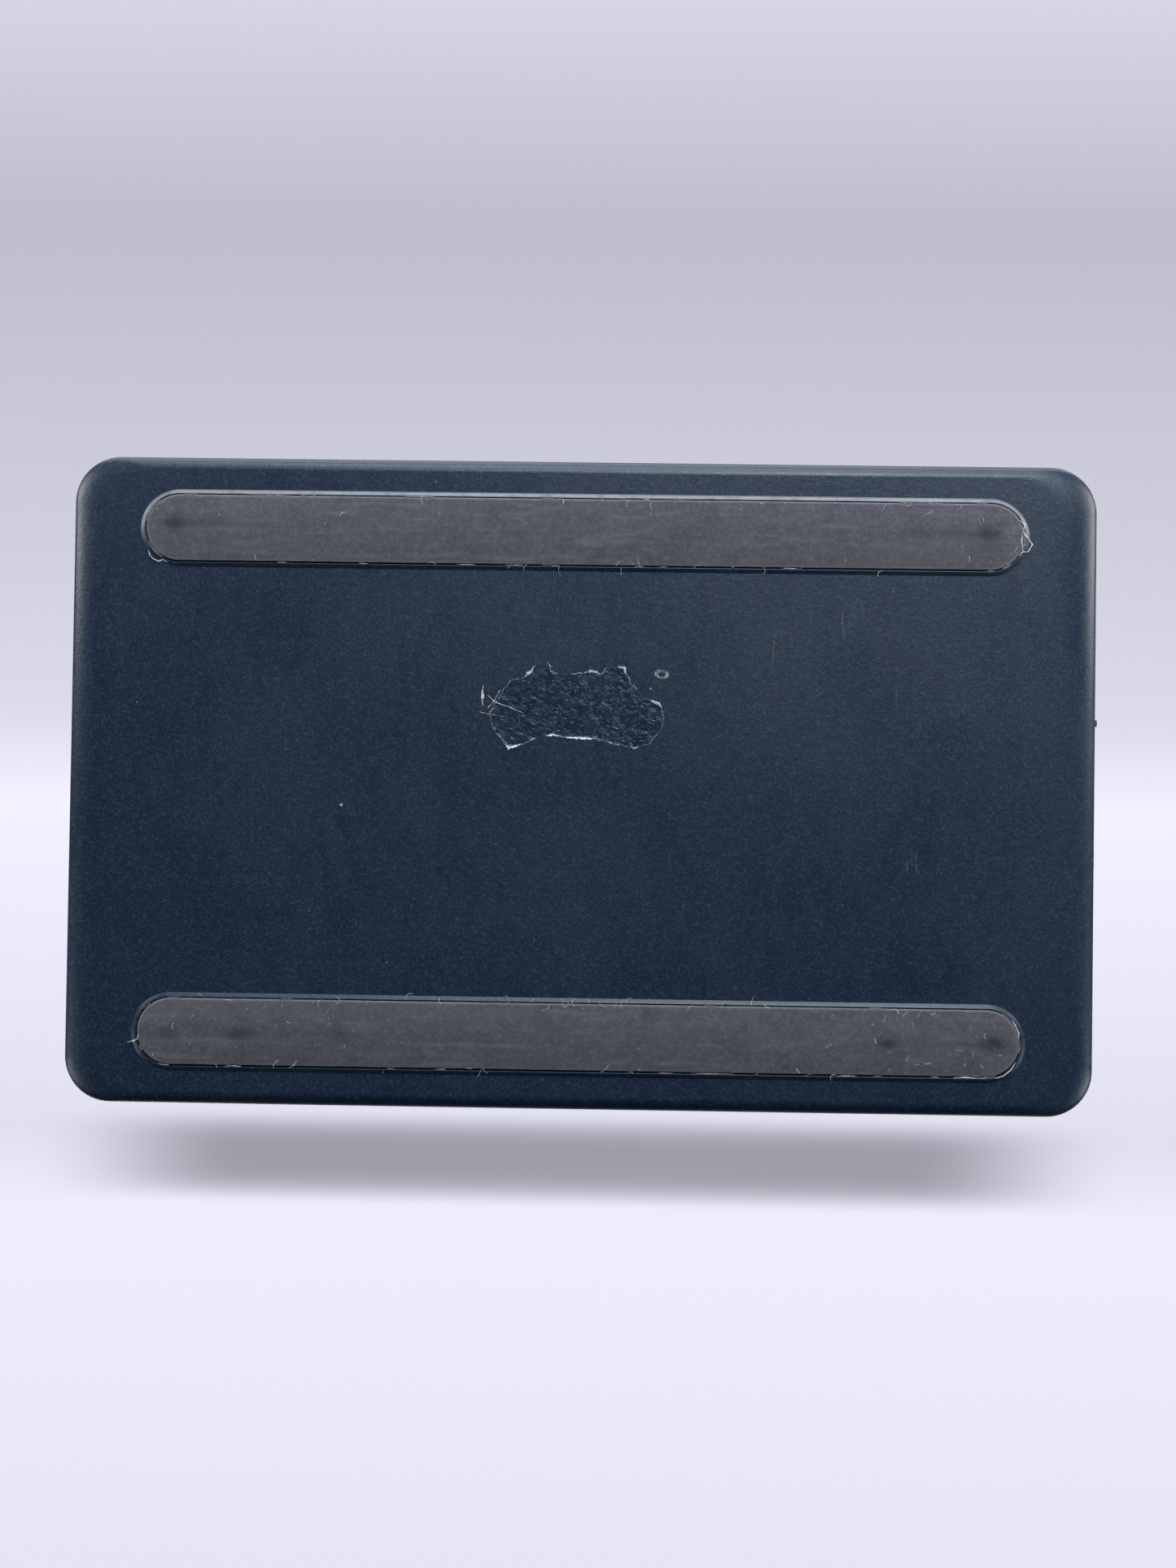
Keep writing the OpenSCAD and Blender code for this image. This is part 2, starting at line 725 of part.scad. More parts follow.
// A cap with a dished top, side wings that hold it under the frame, and a short plunger
module shortcut_key(n) {
  key_top = top_z + key_proud;
  dish_half = key_d / 2 - dish_rim;
  dish_r = (dish_half * dish_half + key_dish * key_dish) / (2 * key_dish);
  color(key_color)
    translate([key_x, key_y(n), 0]) {
      difference() {
        slab(key_flange_z, key_top) rounded_rect(key_w, key_d, key_r);
        translate([-key_w, 0, key_top - key_dish + dish_r])
          rotate([0, 90, 0]) cylinder(h = 2 * key_w, r = dish_r);
      }
      block(0, 0, key_w + 2 * key_flange_side + 2 * key_frame_gap, key_d - 2 * key_r,
            key_flange_z, key_flange_top_z);
      post(0, 0, key_plunger_r, plunger_z, key_flange_z + join);
    }
}

// ---- Touch ring ----

module touch_ring() {
  outer_r = ring_d / 2;
  groove = [
    for (i = [0 : ring_steps])
      [outer_r - dish_rim - (outer_r - 2 * dish_rim - ring_hole_r) * i / ring_steps,
       ring_rim_z - ring_dish * sin(180 * i / ring_steps)]
  ];
  color([0.06, 0.06, 0.07])
    translate([key_x, 0, 0])
      rotate_extrude()
        polygon(concat(
          [[ring_hole_r, ring_z], [ring_flange_r, ring_z], [ring_flange_r, ring_z + ring_flange_t],
           [outer_r, ring_z + ring_flange_t], [outer_r, ring_rim_z]],
          groove,
          [[ring_hole_r, ring_rim_z]]));
}

module ring_button() {
  button_r = ring_button_d / 2;
  dish_edge_r = button_r - dish_rim;
  dish = [
    for (i = [ring_steps : -1 : 0])
      [dish_edge_r * i / ring_steps, ring_button_z - key_dish * (1 - pow(i / ring_steps, 2))]
  ];
  color(key_color)
    translate([key_x, 0, 0])
      rotate_extrude()
        polygon(concat(
          [[0, plunger_z], [key_plunger_r, plunger_z], [key_plunger_r, ring_button_flange_z],
           [ring_button_flange_r, ring_button_flange_z],
           [ring_button_flange_r, ring_button_flange_z + ring_button_flange_t],
           [button_r, ring_button_flange_z + ring_button_flange_t], [button_r, ring_button_z]],
          dish));
}

module ring_board() {
  color(board_color)
    translate([key_x, 0, 0])
      slab(ring_z - ring_board_t, ring_z) difference() {
        circle(ring_board_r);
        circle(ring_board_hole_r);
      }
}

// ---- Left edge: power button, its light, touch switch and charging port ----

module power_button() {
  color(key_color) {
    across(left_x - power_proud, tab_x + tab_t, -power_y, side_z) stadium(power_len, power_h);
    across(tab_x, tab_x + tab_t, -power_y, side_z) square([power_len + 2 * tab_side, tab_h], center = true);
  }
}

module power_switch_plunger() {
  color([0.9, 0.9, 0.88])
    across(tab_x + tab_t, plunger_end_x, -power_y, side_z) circle(plunger_r);
}

module power_switch() {
  bore_end_x = plunger_end_x + power_travel + end_gap;
  color([0.12, 0.12, 0.13]) difference() {
    translate([switch_x, -power_y - power_switch_d / 2, main_top_z])
      cube([switch_depth, power_switch_d, switch_h]);
    across(switch_x - 1, bore_end_x, -power_y, side_z) circle(plunger_r + plunger_gap);
  }
}

module power_light() {
  color([0.95, 0.95, 0.88])
    translate([switch_x + light_t / 2, pipe_y - light_w / 2, main_top_z])
      cube([light_t, light_w, power_light_h]);
}

module power_light_pipe() {
  color([0.85, 0.88, 0.9]) {
    across(left_x, switch_x + light_t / 2 - lift_gap, pipe_y, side_z) circle(pipe_r);
    across(inner_left_x, tab_x + tab_t, pipe_y, side_z) circle(pipe_r + pipe_flange);
  }
}

module touch_switch_knob() {
  color(key_color) {
    across(left_x - knob_proud, tab_x + join, touch_switch_y, side_z)
      square([knob_len, knob_h], center = true);
    across(tab_x, tab_x + tab_t, touch_switch_y, side_z)
      square([knob_len + 2 * tab_side, tab_h], center = true);
    across(tab_x + tab_t - join, tail_end_x, touch_switch_y, side_z)
      square([tail_w, tail_h], center = true);
  }
}

module touch_switch_body() {
  middle_y = touch_switch_y - touch_travel / 2;
  color([0.55, 0.56, 0.58]) difference() {
    translate([switch_x, middle_y - slide_switch_d / 2, main_top_z])
      cube([switch_depth, slide_switch_d, switch_h]);
    across(switch_x - 1, tail_end_x + end_gap, middle_y, side_z)
      square([tail_w + touch_travel + 2 * tail_gap, tail_h + 2 * tail_gap], center = true);
  }
}

// The port's opening, grown by g on every side: flat above, with two sloping lower corners
module port_outline(g) {
  w = port_w / 2 + g;
  h = port_h / 2 + g;
  polygon([[-w, h], [w, h], [w, 0], [w - port_bevel, -h], [port_bevel - w, -h], [-w, 0]]);
}

module charging_port_shell() {
  color(steel_color) difference() {
    across(port_x, port_x + port_depth, 0, port_z) port_outline(port_shell_t);
    across(port_x - 1, port_x + port_depth - port_back_t, 0, port_z) port_outline(0);
  }
}

module charging_port_tongue() {
  color([0.08, 0.08, 0.09])
    across(port_x + tongue_set_back, port_x + port_depth - port_back_t, 0, port_z + port_tongue_rise)
      square([port_tongue_w, port_tongue_t], center = true);
}

// ---- Feet ----

module foot_pad(side) {
  color(rubber_color)
    translate([0, side * foot_y, 0]) slab(0, pad_seat_z - pad_tape_t) stadium(pad_len, pad_w);
}

module foot_tapes() {
  inset = 1; // how much shorter and narrower the tape is than its pad
  color([0.8, 0.78, 0.7])
    for (s = [-1, 1])
      translate([0, s * foot_y, 0])
        slab(pad_seat_z - pad_tape_t, pad_seat_z) stadium(pad_len - inset, pad_w - inset);
}

// ---- Screws ----

module case_screws() {
  drive_r = 0.6;
  drive_depth = 0.35;
  head_z = case_bore_z - case_head_h;
  color(steel_color)
    for (p = case_screw_places) difference() {
      union() {
        post(p.x, p.y, case_head_d / 2, head_z, case_bore_z);
        post(p.x, p.y, case_screw_d / 2, case_bore_z - join, case_shank_end_z);
      }
      post(p.x, p.y, drive_r, head_z - 1, head_z + drive_depth);
    }
}

// A board screw with its head up (dir 1) or down (dir -1), its head seated at z
module board_screw(x, y, z, dir) {
  drive_r = 0.5;
  drive_depth = 0.3;
  translate([x, y, z]) mirror([0, 0, dir < 0 ? 1 : 0]) difference() {
    union() {
      cylinder(h = board_head_h, d = board_head_d);
      translate([0, 0, -board_t - board_screw_grip])
        cylinder(h = board_t + board_screw_grip + join, d = board_screw_d);
    }
    translate([0, 0, board_head_h - drive_depth]) cylinder(h = 1, r = drive_r);
  }
}

module main_board_screws() {
  color(steel_color) for (p = main_screw_places) board_screw(p.x, p.y, main_top_z, 1);
}

module key_board_screws() {
  color(steel_color) for (p = key_screw_places) board_screw(p.x, p.y, key_board_z, -1);
}

rear_cover();
top_frame();
drawing_sheet();
touch_sensor_film();
digitizer_board();
shield_sheet();
main_board();
main_board_chips();
wireless_board();
wireless_can();
battery_socket();
battery_lead();
battery();
battery_tape();
key_board();
key_board_link();
key_dome(1);  // key_dome_1
key_dome(2);  // key_dome_2
key_dome(3);  // key_dome_3
key_dome(4);  // key_dome_4
key_dome(5);  // key_dome_5
key_dome(6);  // key_dome_6
ring_button_dome();
ring_board();
mode_lights();
mode_light_guides();
shortcut_key(1);  // shortcut_key_1
shortcut_key(2);  // shortcut_key_2
shortcut_key(3);  // shortcut_key_3
shortcut_key(4);  // shortcut_key_4
shortcut_key(5);  // shortcut_key_5
shortcut_key(6);  // shortcut_key_6
touch_ring();
ring_button();
power_button();
power_switch_plunger();
power_switch();
power_light();
power_light_pipe();
touch_switch_knob();
touch_switch_body();
charging_port_shell();
charging_port_tongue();
sensor_flex();
sensor_flex_socket();
foot_pad(-1);  // near_foot_pad
foot_pad(1);  // far_foot_pad
foot_tapes();
case_screws();
main_board_screws();
key_board_screws();
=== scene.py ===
"""A pen drawing tablet, finished round its CAD model: cover, feet, frame, keys and edge controls."""
import math
import random

import bmesh
import bpy
from mathutils import Euler, Matrix, Vector, noise


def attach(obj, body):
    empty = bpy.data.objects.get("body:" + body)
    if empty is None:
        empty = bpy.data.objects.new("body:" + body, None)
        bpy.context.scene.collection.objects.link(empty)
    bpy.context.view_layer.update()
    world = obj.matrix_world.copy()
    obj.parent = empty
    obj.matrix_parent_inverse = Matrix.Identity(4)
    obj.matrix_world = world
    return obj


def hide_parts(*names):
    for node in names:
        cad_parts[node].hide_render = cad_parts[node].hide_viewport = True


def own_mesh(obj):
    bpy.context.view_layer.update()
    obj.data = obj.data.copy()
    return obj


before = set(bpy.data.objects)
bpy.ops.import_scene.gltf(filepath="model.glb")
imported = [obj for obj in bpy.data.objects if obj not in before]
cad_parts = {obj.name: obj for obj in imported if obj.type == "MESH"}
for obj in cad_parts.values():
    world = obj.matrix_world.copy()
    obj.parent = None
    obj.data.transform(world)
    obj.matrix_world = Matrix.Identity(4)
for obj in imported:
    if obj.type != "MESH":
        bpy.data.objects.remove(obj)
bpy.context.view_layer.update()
MM = 0.001

# ---- Sizes of the body and its parts, in millimetres ----

BODY_W, BODY_D, CORNER = 269, 170, 12
UNDER_Z, FLOOR_Z, PARTING_Z, PLATE_Z, TOP_Z = 0.9, 2.2, 7.9, 7.5, 8.9
SIDE_ROLL, END_ROLL, ROLL_H = 10, 3.5, 3.4
WALL, CAVITY_CUT, CAVITY_ROLL_H = 1.3, 1, 2.6
LEFT = -BODY_W / 2

FOOT_Y, PAD_LEN, PAD_W, PAD_TOP, PAD_SEAT = 66, 229.8, 17.3, 1.15, 1.3
POCKET_LEN, POCKET_W = 230.5, 18.0
RIM_Z, RIM_CREST, RIM_SLOPE = 0.4, 0.65, 0.55

SHEET_X, SHEET_W, SHEET_D, SHEET_R, SHEET_Z = 26, 205, 158, 5, 8.6
ACTIVE_W, ACTIVE_D = 160, 100

KEY_X, KEY_W, KEY_D, KEY_R, KEY_TOP = -107.5, 20, 9, 0.8, 9.1
KEY_GROUP_Y, KEY_PITCH = 38.05, 9.3
DOME_R, DOME_H, DOME_T, DOME_PRESSED, KEY_BOARD_TOP = 2.5, 0.6, 0.12, 0.33, 6.0
KEY_DISH, KEY_FLANGE_Z, KEY_FLANGE_TOP, PLUNGER_Z = 0.2, 6.95, 7.45, 6.62
RING_R, RING_HOLE, RING_Z, RING_TOP, RING_DIP = 20, 6.45, 7.15, 8.6, 0.35
GUIDE_OFFSET, GUIDE_R = 16.6, 0.8

SIDE_Z, KNOB_Y, POWER_Y, PIPE_Y = 6.0, 18, -18, -24.5
PORT_X, PORT_Z, PORT_W, PORT_H, PORT_BEVEL, PORT_SHELL = -134.0, 5.925, 6.9, 1.85, 0.9, 0.3
TAB_X, TAB_T = -133.0, 0.6

OUTER_SCREW_X, INNER_SCREW_X = 107.5, 84
CASE_SCREWS = [(-OUTER_SCREW_X, FOOT_Y), (OUTER_SCREW_X, FOOT_Y), (-OUTER_SCREW_X, -FOOT_Y),
               (OUTER_SCREW_X, -FOOT_Y), (-INNER_SCREW_X, -FOOT_Y), (INNER_SCREW_X, -FOOT_Y)]


# ---- Camera: below the tablet, square to its underside ----

def add_camera():
    data = bpy.data.cameras.new("camera")
    data.lens, data.sensor_width = 54, 36
    data.clip_start, data.clip_end = 0.01, 50
    camera = bpy.data.objects.new("camera", data)
    bpy.context.scene.collection.objects.link(camera)
    place, tilt = Vector((-12.2, -15.7, -613.4)), (1.49, 0.93, 0.82)
    turn = Matrix.Diagonal((-1, 1, -1)) @ Euler([math.radians(a) for a in tilt]).to_matrix()
    camera.matrix_world = Matrix.Translation(place * MM) @ turn.to_4x4()
    bpy.context.scene.camera = camera


add_camera()
bpy.context.scene.view_settings.view_transform = "Standard"


# ---- Shader toolkit ----

class Value:
    """A number that changes over a surface; sums and products of it add Math nodes."""

    def __init__(self, nodes, socket):
        self.nodes, self.socket = nodes, socket

    def maths(self, operation, *terms):
        node = self.nodes.node("ShaderNodeMath", {"operation": operation}, dict(enumerate(terms)))
        return Value(self.nodes, node.outputs[0])

    def __add__(self, other):
        return self.maths("ADD", self, other)

    def __sub__(self, other):
        return self.maths("SUBTRACT", self, other)

    def __rsub__(self, other):
        return self.maths("SUBTRACT", other, self)

    def __mul__(self, other):
        return self.maths("MULTIPLY", self, other)

    def __truediv__(self, other):
        return self.maths("DIVIDE", self, other)

    def __pow__(self, other):
        return self.maths("POWER", self, other)

    __radd__, __rmul__ = __add__, __mul__

    def abs(self):
        return self.maths("ABSOLUTE", self)

    def least(self, other):
        return self.maths("MINIMUM", self, other)

    def most(self, other):
        return self.maths("MAXIMUM", self, other)

    def smooth(self, low, high):
        """0 below low and 1 above high, with a soft turn between; low may be the larger."""
        node = self.nodes.node("ShaderNodeMapRange", {"interpolation_type": "SMOOTHSTEP"},
                               {0: self, 1: min(low, high), 2: max(low, high)})
        result = Value(self.nodes, node.outputs[0])
        return result if low < high else 1 - result


class Nodes:
    """A node tree, with the few kinds of node that the finishes are made of."""

    def __init__(self, tree):
        self.tree = tree

    def node(self, kind, settings=None, sockets=None):
        made = self.tree.nodes.new(kind)
        for name, setting in (settings or {}).items():
            if name == "stops":
                ramp = made.color_ramp.elements
                for position, _ in setting[1:-1]:
                    ramp.new(position)
                for stop, (position, colour) in zip(ramp, setting):
                    stop.position, stop.color = position, (*colour, 1)
            else:
                setattr(made, name, setting)
        for name, given in (sockets or {}).items():
            self.give(made.inputs[name], given)
        return made

    def give(self, socket, given):
        if isinstance(given, Value):
            self.tree.links.new(given.socket, socket)
        elif isinstance(given, bpy.types.NodeSocket):
            self.tree.links.new(given, socket)
        elif isinstance(given, tuple) and socket.type == "RGBA":
            socket.default_value = (*given, 1)
        else:
            socket.default_value = given

    def mix(self, factor, first, second, blend="MIX"):
        made = self.node("ShaderNodeMix", {"data_type": "RGBA", "blend_type": blend},
                         {0: factor, 6: first, 7: second})
        return made.outputs[2]

    def ramp(self, factor, *stops):
        return self.node("ShaderNodeValToRGB", {"stops": stops}, {0: factor}).outputs[0]

    def split(self, vector):
        return [Value(self, out) for out in self.node("ShaderNodeSeparateXYZ", None, {0: vector}).outputs]

    def vector(self, operation, *terms):
        sockets = dict(enumerate(terms))
        if operation == "SCALE":
            sockets = {0: terms[0], 3: terms[1]}
        return self.node("ShaderNodeVectorMath", {"operation": operation}, sockets).outputs[0]


class Finish(Nodes):
    """A surface finish, worked out in millimetres of the object's own space."""

    def __init__(self, name, **fixed):
        self.material = bpy.data.materials.new(name)
        self.material.use_nodes = True
        super().__init__(self.material.node_tree)
        self.shader = self.tree.nodes["Principled BSDF"]
        for label, setting in fixed.items():
            self.give(self.shader.inputs[label.replace("_", " ")], setting)
        own = self.node("ShaderNodeTexCoord").outputs["Object"]
        self.place = self.vector("SCALE", own, 1 / MM)
        self.x, self.y, self.z = self.split(self.place)

    def set(self, **sockets):
        for label, given in sockets.items():
            self.give(self.shader.inputs[label.replace("_", " ")], given)
        return self

    def stretched(self, x, y, z):
        return self.vector("MULTIPLY", self.place, (x, y, z))

    def grain(self, size, detail=2.0, roughness=0.5, where=None, distortion=0.0, seed=0.0):
        """Cloudy noise from 0 to 1, with lumps about that many millimetres across."""
        place = where or self.place
        if seed:
            place = self.vector("ADD", place, (seed, seed * 0.7, seed * 1.3))
        made = self.node("ShaderNodeTexNoise", None, {
            "Vector": place, "Scale": 1 / size, "Detail": detail, "Roughness": roughness,
            "Distortion": distortion})
        return Value(self, made.outputs[0])

    def cells(self, size, feature="F1", where=None, randomness=1.0):
        """Distance from the nearest of many scattered points, which lie about size apart."""
        made = self.node("ShaderNodeTexVoronoi", {"feature": feature}, {
            "Vector": where or self.place, "Scale": 1 / size, "Randomness": randomness})
        return Value(self, made.outputs["Distance"])

    def specks(self, size, radius, share, seed=0.0):
        """Small round spots of that radius, kept only in the given share of places."""
        place = self.vector("ADD", self.place, (seed, seed, seed))
        spot = self.cells(size, where=place).smooth(radius / size, radius / size * 0.5)
        return spot * self.grain(size * 1.7, 0, seed=seed + 3).smooth(1 - share, 1.03 - share)

    def blotch(self, x, y, half_x, half_y, soft=0.5, turn=0.0):
        """1 inside an ellipse about x, y, fading out over the soft share of its size."""
        c, s = math.cos(math.radians(turn)), math.sin(math.radians(turn))
        along = ((self.x - x) * c + (self.y - y) * s) / half_x
        over = ((self.y - y) * c - (self.x - x) * s) / half_y
        return (along * along + over * over).smooth(1 + soft, max(0.0, 1 - soft))

    def bump(self, height, depth, under=None):
        """Normal from a height of 0 to 1 that stands for depth millimetres."""
        sockets = {"Height": height, "Distance": depth * MM, "Strength": 1.0}
        if under is not None:
            sockets["Normal"] = under
        return self.node("ShaderNodeBump", None, sockets).outputs[0]

    def attribute(self, name):
        return Value(self, self.node("ShaderNodeAttribute", {"attribute_name": name}).outputs["Fac"])


# ---- Shape toolkit: everything in millimetres until it becomes a piece ----

class Shape:
    """Points and faces of one or more closed surfaces."""

    def __init__(self):
        self.points, self.faces = [], []

    def ring(self, points):
        start = len(self.points)
        self.points += [tuple(p) for p in points]
        return list(range(start, len(self.points)))

    def bridge(self, first, second, closed=True):
        count = len(first)
        for i in range(count if closed else count - 1):
            j = (i + 1) % count
            self.faces.append((first[i], first[j], second[j], second[i]))

    def add(self, other):
        start = len(self.points)
        self.points += other.points
        self.faces += [tuple(i + start for i in face) for face in other.faces]
        return self

    def turned(self, matrix):
        self.points = [tuple(matrix @ Vector(p)) for p in self.points]
        return self

    def mesh(self, name="shape"):
        made = bpy.data.meshes.new(name)
        made.from_pydata(self.points, [], self.faces)
        tidy = bmesh.new()
        tidy.from_mesh(made)
        bmesh.ops.remove_doubles(tidy, verts=tidy.verts, dist=1e-5)
        bmesh.ops.recalc_face_normals(tidy, faces=tidy.faces)
        tidy.to_mesh(made)
        tidy.free()
        return made


def together(*shapes):
    whole = Shape()
    for shape in shapes:
        whole.add(shape)
    return whole


def divide(start, end, count):
    """Points from start up to, but not at, end, in that many equal steps."""
    return [tuple(a + (b - a) * i / count for a, b in zip(start, end)) for i in range(count)]


def rounded_rect(w, d, r, steps=10, x=0, y=0, sides=(1, 1)):
    """Outline with round corners, anticlockwise; sides gives the parts along the long and short sides."""
    arcs = []
    for sx, sy, start in ((1, 1, 0), (-1, 1, 90), (-1, -1, 180), (1, -1, 270)):
        cx, cy = x + sx * (w / 2 - r), y + sy * (d / 2 - r)
        angles = [math.radians(start + 90 * i / steps) for i in range(steps + 1)]
        arcs.append([(cx + r * math.cos(a), cy + r * math.sin(a)) for a in angles])
    outline = []
    for i, arc in enumerate(arcs):
        outline += arc[:-1] + divide(arc[-1], arcs[(i + 1) % 4][0], sides[i % 2])
    return outline


def stadium(length, width, steps=24, y=0, parts=1):
    """Outline of a bar with half-round ends, its straight sides in that many parts."""
    r, half = width / 2, (length - width) / 2
    ends = []
    for side, start in ((1, -90), (-1, 90)):
        angles = [math.radians(start + 180 * i / steps) for i in range(steps + 1)]
        ends.append([(side * half + r * math.cos(a), y + r * math.sin(a)) for a in angles])
    outline = []
    for arc, following in ((ends[0], ends[1]), (ends[1], ends[0])):
        outline += arc[:-1] + divide(arc[-1], following[0], parts)
    return outline


def softened(points, radius, steps=4):
    """A polygon with each corner turned into a short curve."""
    outline = []
    for before, corner, after in zip(points[-1:] + points[:-1], points, points[1:] + points[:1]):
        corner = Vector(corner)
        start = corner + (Vector(before) - corner).normalized() * radius
        end = corner + (Vector(after) - corner).normalized() * radius
        for i in range(steps + 1):
            t = i / steps
            outline.append(tuple(start.lerp(corner, t).lerp(corner.lerp(end, t), t)))
    return outline


def loft(levels, capped=True):
    """Closed surface through outlines, given as (outline, height) or as lists of 3-D points."""
    shape = Shape()
    rings = []
    for level in levels:
        if isinstance(level, tuple):
            outline, z = level
            level = [(px, py, z) for px, py in outline]
        rings.append(shape.ring(level))
    for first, second in zip(rings, rings[1:]):
        shape.bridge(first, second)
    if capped:
        shape.faces += [tuple(reversed(rings[0])), tuple(rings[-1])]
    return shape


def lathe(profile, steps=48, x=0, y=0):
    """Closed profile of (radius, height) points turned round an upright axis."""
    shape = Shape()
    rings = []
    for i in range(steps):
        a = 2 * math.pi * i / steps
        rings.append(shape.ring((x + r * math.cos(a), y + r * math.sin(a), z) for r, z in profile))
    for first, second in zip(rings, rings[1:] + rings[:1]):
        shape.bridge(first, second)
    return shape


def sideways(y, z):
    """Turns a shape drawn in x, y, z so that its x lies along Y, its y along Z and its height along X."""
    return Matrix(((0, 0, 1, 0), (1, 0, 0, y), (0, 1, 0, z), (0, 0, 0, 1)))


def combined(base, tools, operation):
    """Mesh of the base with the tools cut away or joined on; tools may touch each other."""
    meshes = [m if isinstance(m, bpy.types.Mesh) else m.mesh() for m in (base, tools)]
    first, second = [bpy.data.objects.new("work", mesh) for mesh in meshes]
    for work in (first, second):
        bpy.context.scene.collection.objects.link(work)
    cut = first.modifiers.new("cut", "BOOLEAN")
    cut.operation, cut.solver, cut.object, cut.use_self = operation, "EXACT", second, operation == "UNION"
    made = bpy.data.meshes.new_from_object(first.evaluated_get(bpy.context.evaluated_depsgraph_get()))
    for work in (first, second):
        bpy.data.objects.remove(work)
    return made


def piece(name, shape, finish, body, replaces=(), sharp=38, edge=0.0, weighted=True):
    """Makes a piece from a shape or mesh in millimetres, smooth but for edges sharper than given."""
    mesh = shape if isinstance(shape, bpy.types.Mesh) else shape.mesh(name)
    mesh.name = name
    mesh.transform(Matrix.Scale(MM, 4))
    mesh.polygons.foreach_set("use_smooth", [True] * len(mesh.polygons))
    mesh.materials.clear()
    mesh.materials.append(finish.material)
    made = bpy.data.objects.new(name, mesh)
    bpy.context.scene.collection.objects.link(made)
    if edge:
        bevel = made.modifiers.new("edge", "BEVEL")
        bevel.width, bevel.segments, bevel.limit_method = edge * MM, 2, "ANGLE"
        bevel.angle_limit = math.radians(sharp)
        bevel.harden_normals = False
    else:
        mesh.set_sharp_from_angle(angle=math.radians(sharp))
    if weighted:
        level = made.modifiers.new("level", "WEIGHTED_NORMAL")
        level.keep_sharp, level.weight = True, 80
    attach(made, body)
    if replaces:
        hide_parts(*replaces)
    return made


# ---- Finishes ----

def satin_cover_plastic():
    """Fine-grained dark blue moulded plastic: greasy patches, rubbed edges, scuffs and dust, with a painted
    highlight along the upper side of the far foot's rim.
    """
    f = Finish("satin_cover_plastic", Specular_IOR_Level=0.25, Specular_Tint=(0.76, 0.90, 1.0))
    grain = f.grain(0.7, 4, 0.75)
    pores = f.cells(0.6)
    pebble = f.grain(1.6, 4, 0.75, seed=2)
    mottle = f.grain(14, 3, 0.6, distortion=0.6)
    smears = f.grain(9, 3, 0.55, where=f.stretched(1, 0.35, 1), distortion=1.2, seed=11)
    haze = f.grain(55, 2, 0.5, seed=4)
    colour = f.mix(mottle.smooth(0.3, 0.75) * 0.5, (0.0020, 0.0070, 0.0180), (0.0031, 0.0094, 0.0218))
    colour = f.mix(grain.smooth(0.50, 0.64) * 0.5, colour, (0.0190, 0.0310, 0.0520))
    colour = f.mix(pebble.smooth(0.50, 0.36) * 0.55, colour, (0.0012, 0.0050, 0.0140))
    scuffs = (f.blotch(-88, 20, 9, 3.5, 0.8, 35) + f.blotch(-85, -19, 7, 2.5, 0.8, 20)
              + f.blotch(122, 28, 5, 9, 0.8, 15) + f.blotch(-60, 40, 16, 5, 0.9, -30))
    strokes = f.grain(1.1, 2, 0.6, where=f.stretched(1, 0.08, 1), seed=21).smooth(0.62, 0.7)
    scuffed = (scuffs * strokes).least(1.0)
    colour = f.mix(scuffed * 0.35, colour, (0.05, 0.055, 0.065))
    rubbed = f.z.smooth(1.2, 3.6) * grain.smooth(0.35, 0.75)
    colour = f.mix(rubbed * 0.12, colour, (0.06, 0.065, 0.075))
    # Painted highlight: the crest and outer slope of the far foot's rim are painted paler towards its upper
    # (+Y) side, where light from above falls, broken up by grain
    crest = f.z.smooth(UNDER_Z - 0.01, RIM_Z + 0.25) * f.y.smooth(FOOT_Y - 7, FOOT_Y + 8)
    crest = crest * (f.grain(3.5, 2).smooth(0.2, 0.6) * 0.5 + 0.5)
    colour = f.mix(crest * 0.75, colour, (0.11, 0.12, 0.14))
    dust = f.specks(6.5, 0.16, 0.45, 1.0).most(f.specks(2.6, 0.07, 0.3, 5.0) * 0.7)
    lone = f.blotch(62.5, -6.2, 0.35, 0.35, 0.3)
    colour = f.mix(dust.most(lone) * 0.55, colour, (0.34, 0.35, 0.38))
    rough = 0.34 + smears.smooth(0.45, 0.7) * -0.04 + haze.smooth(0.35, 0.7) * 0.05
    rough = rough + grain * 0.06 + dust * 0.3 + scuffed * 0.15
    normal = f.bump(grain * 0.6 + pores * 0.4, 0.03)
    normal = f.bump(pebble * 0.8 + mottle * 0.2, 0.075, normal)
    return f.set(Base_Color=colour, Roughness=rough, Normal=normal)


def dusty_foot_rubber():
    """Grey rubber with a dusty bloom, scuffs along its length and dark greasy dents."""
    f = Finish("dusty_foot_rubber", Specular_IOR_Level=0.3, Specular_Tint=(0.80, 0.92, 1.0))
    fine = f.grain(0.3, 3, 0.65)
    clouds = f.grain(7, 4, 0.6, distortion=0.8)
    drags = f.grain(2.2, 3, 0.6, where=f.stretched(0.12, 1, 1), seed=8)
    pebble = f.grain(1.1, 3, 0.7, seed=13)
    dents = f.attribute("dent")
    colour = f.mix(clouds.smooth(0.25, 0.75), (0.020, 0.023, 0.033), (0.030, 0.032, 0.044))
    colour = f.mix(drags.smooth(0.5, 0.8) * 0.35, colour, (0.074, 0.078, 0.098))
    colour = f.mix(pebble.smooth(0.45, 0.7) * 0.3, colour, (0.072, 0.076, 0.096))
    colour = f.mix(fine.smooth(0.55, 0.8) * 0.3, colour, (0.125, 0.130, 0.155))
    edge = f.attribute("edge")
    colour = f.mix(edge * (0.35 + clouds * 0.5), colour, (0.15, 0.155, 0.18))
    colour = f.mix(dents, colour, (0.006, 0.008, 0.013))
    lint = f.specks(3.1, 0.15, 0.5, 2.0).most(f.specks(1.5, 0.09, 0.35, 9.0) * 0.8)
    colour = f.mix(lint * 0.6, colour, (0.36, 0.37, 0.42))
    rough = 0.78 - dents * 0.08 + fine * 0.1 + lint * 0.1
    normal = f.bump(fine, 0.03)
    normal = f.bump(drags * 0.3 + clouds * 0.2 + pebble * 0.5, 0.07, normal)
    return f.set(Base_Color=colour, Roughness=rough, Normal=normal)


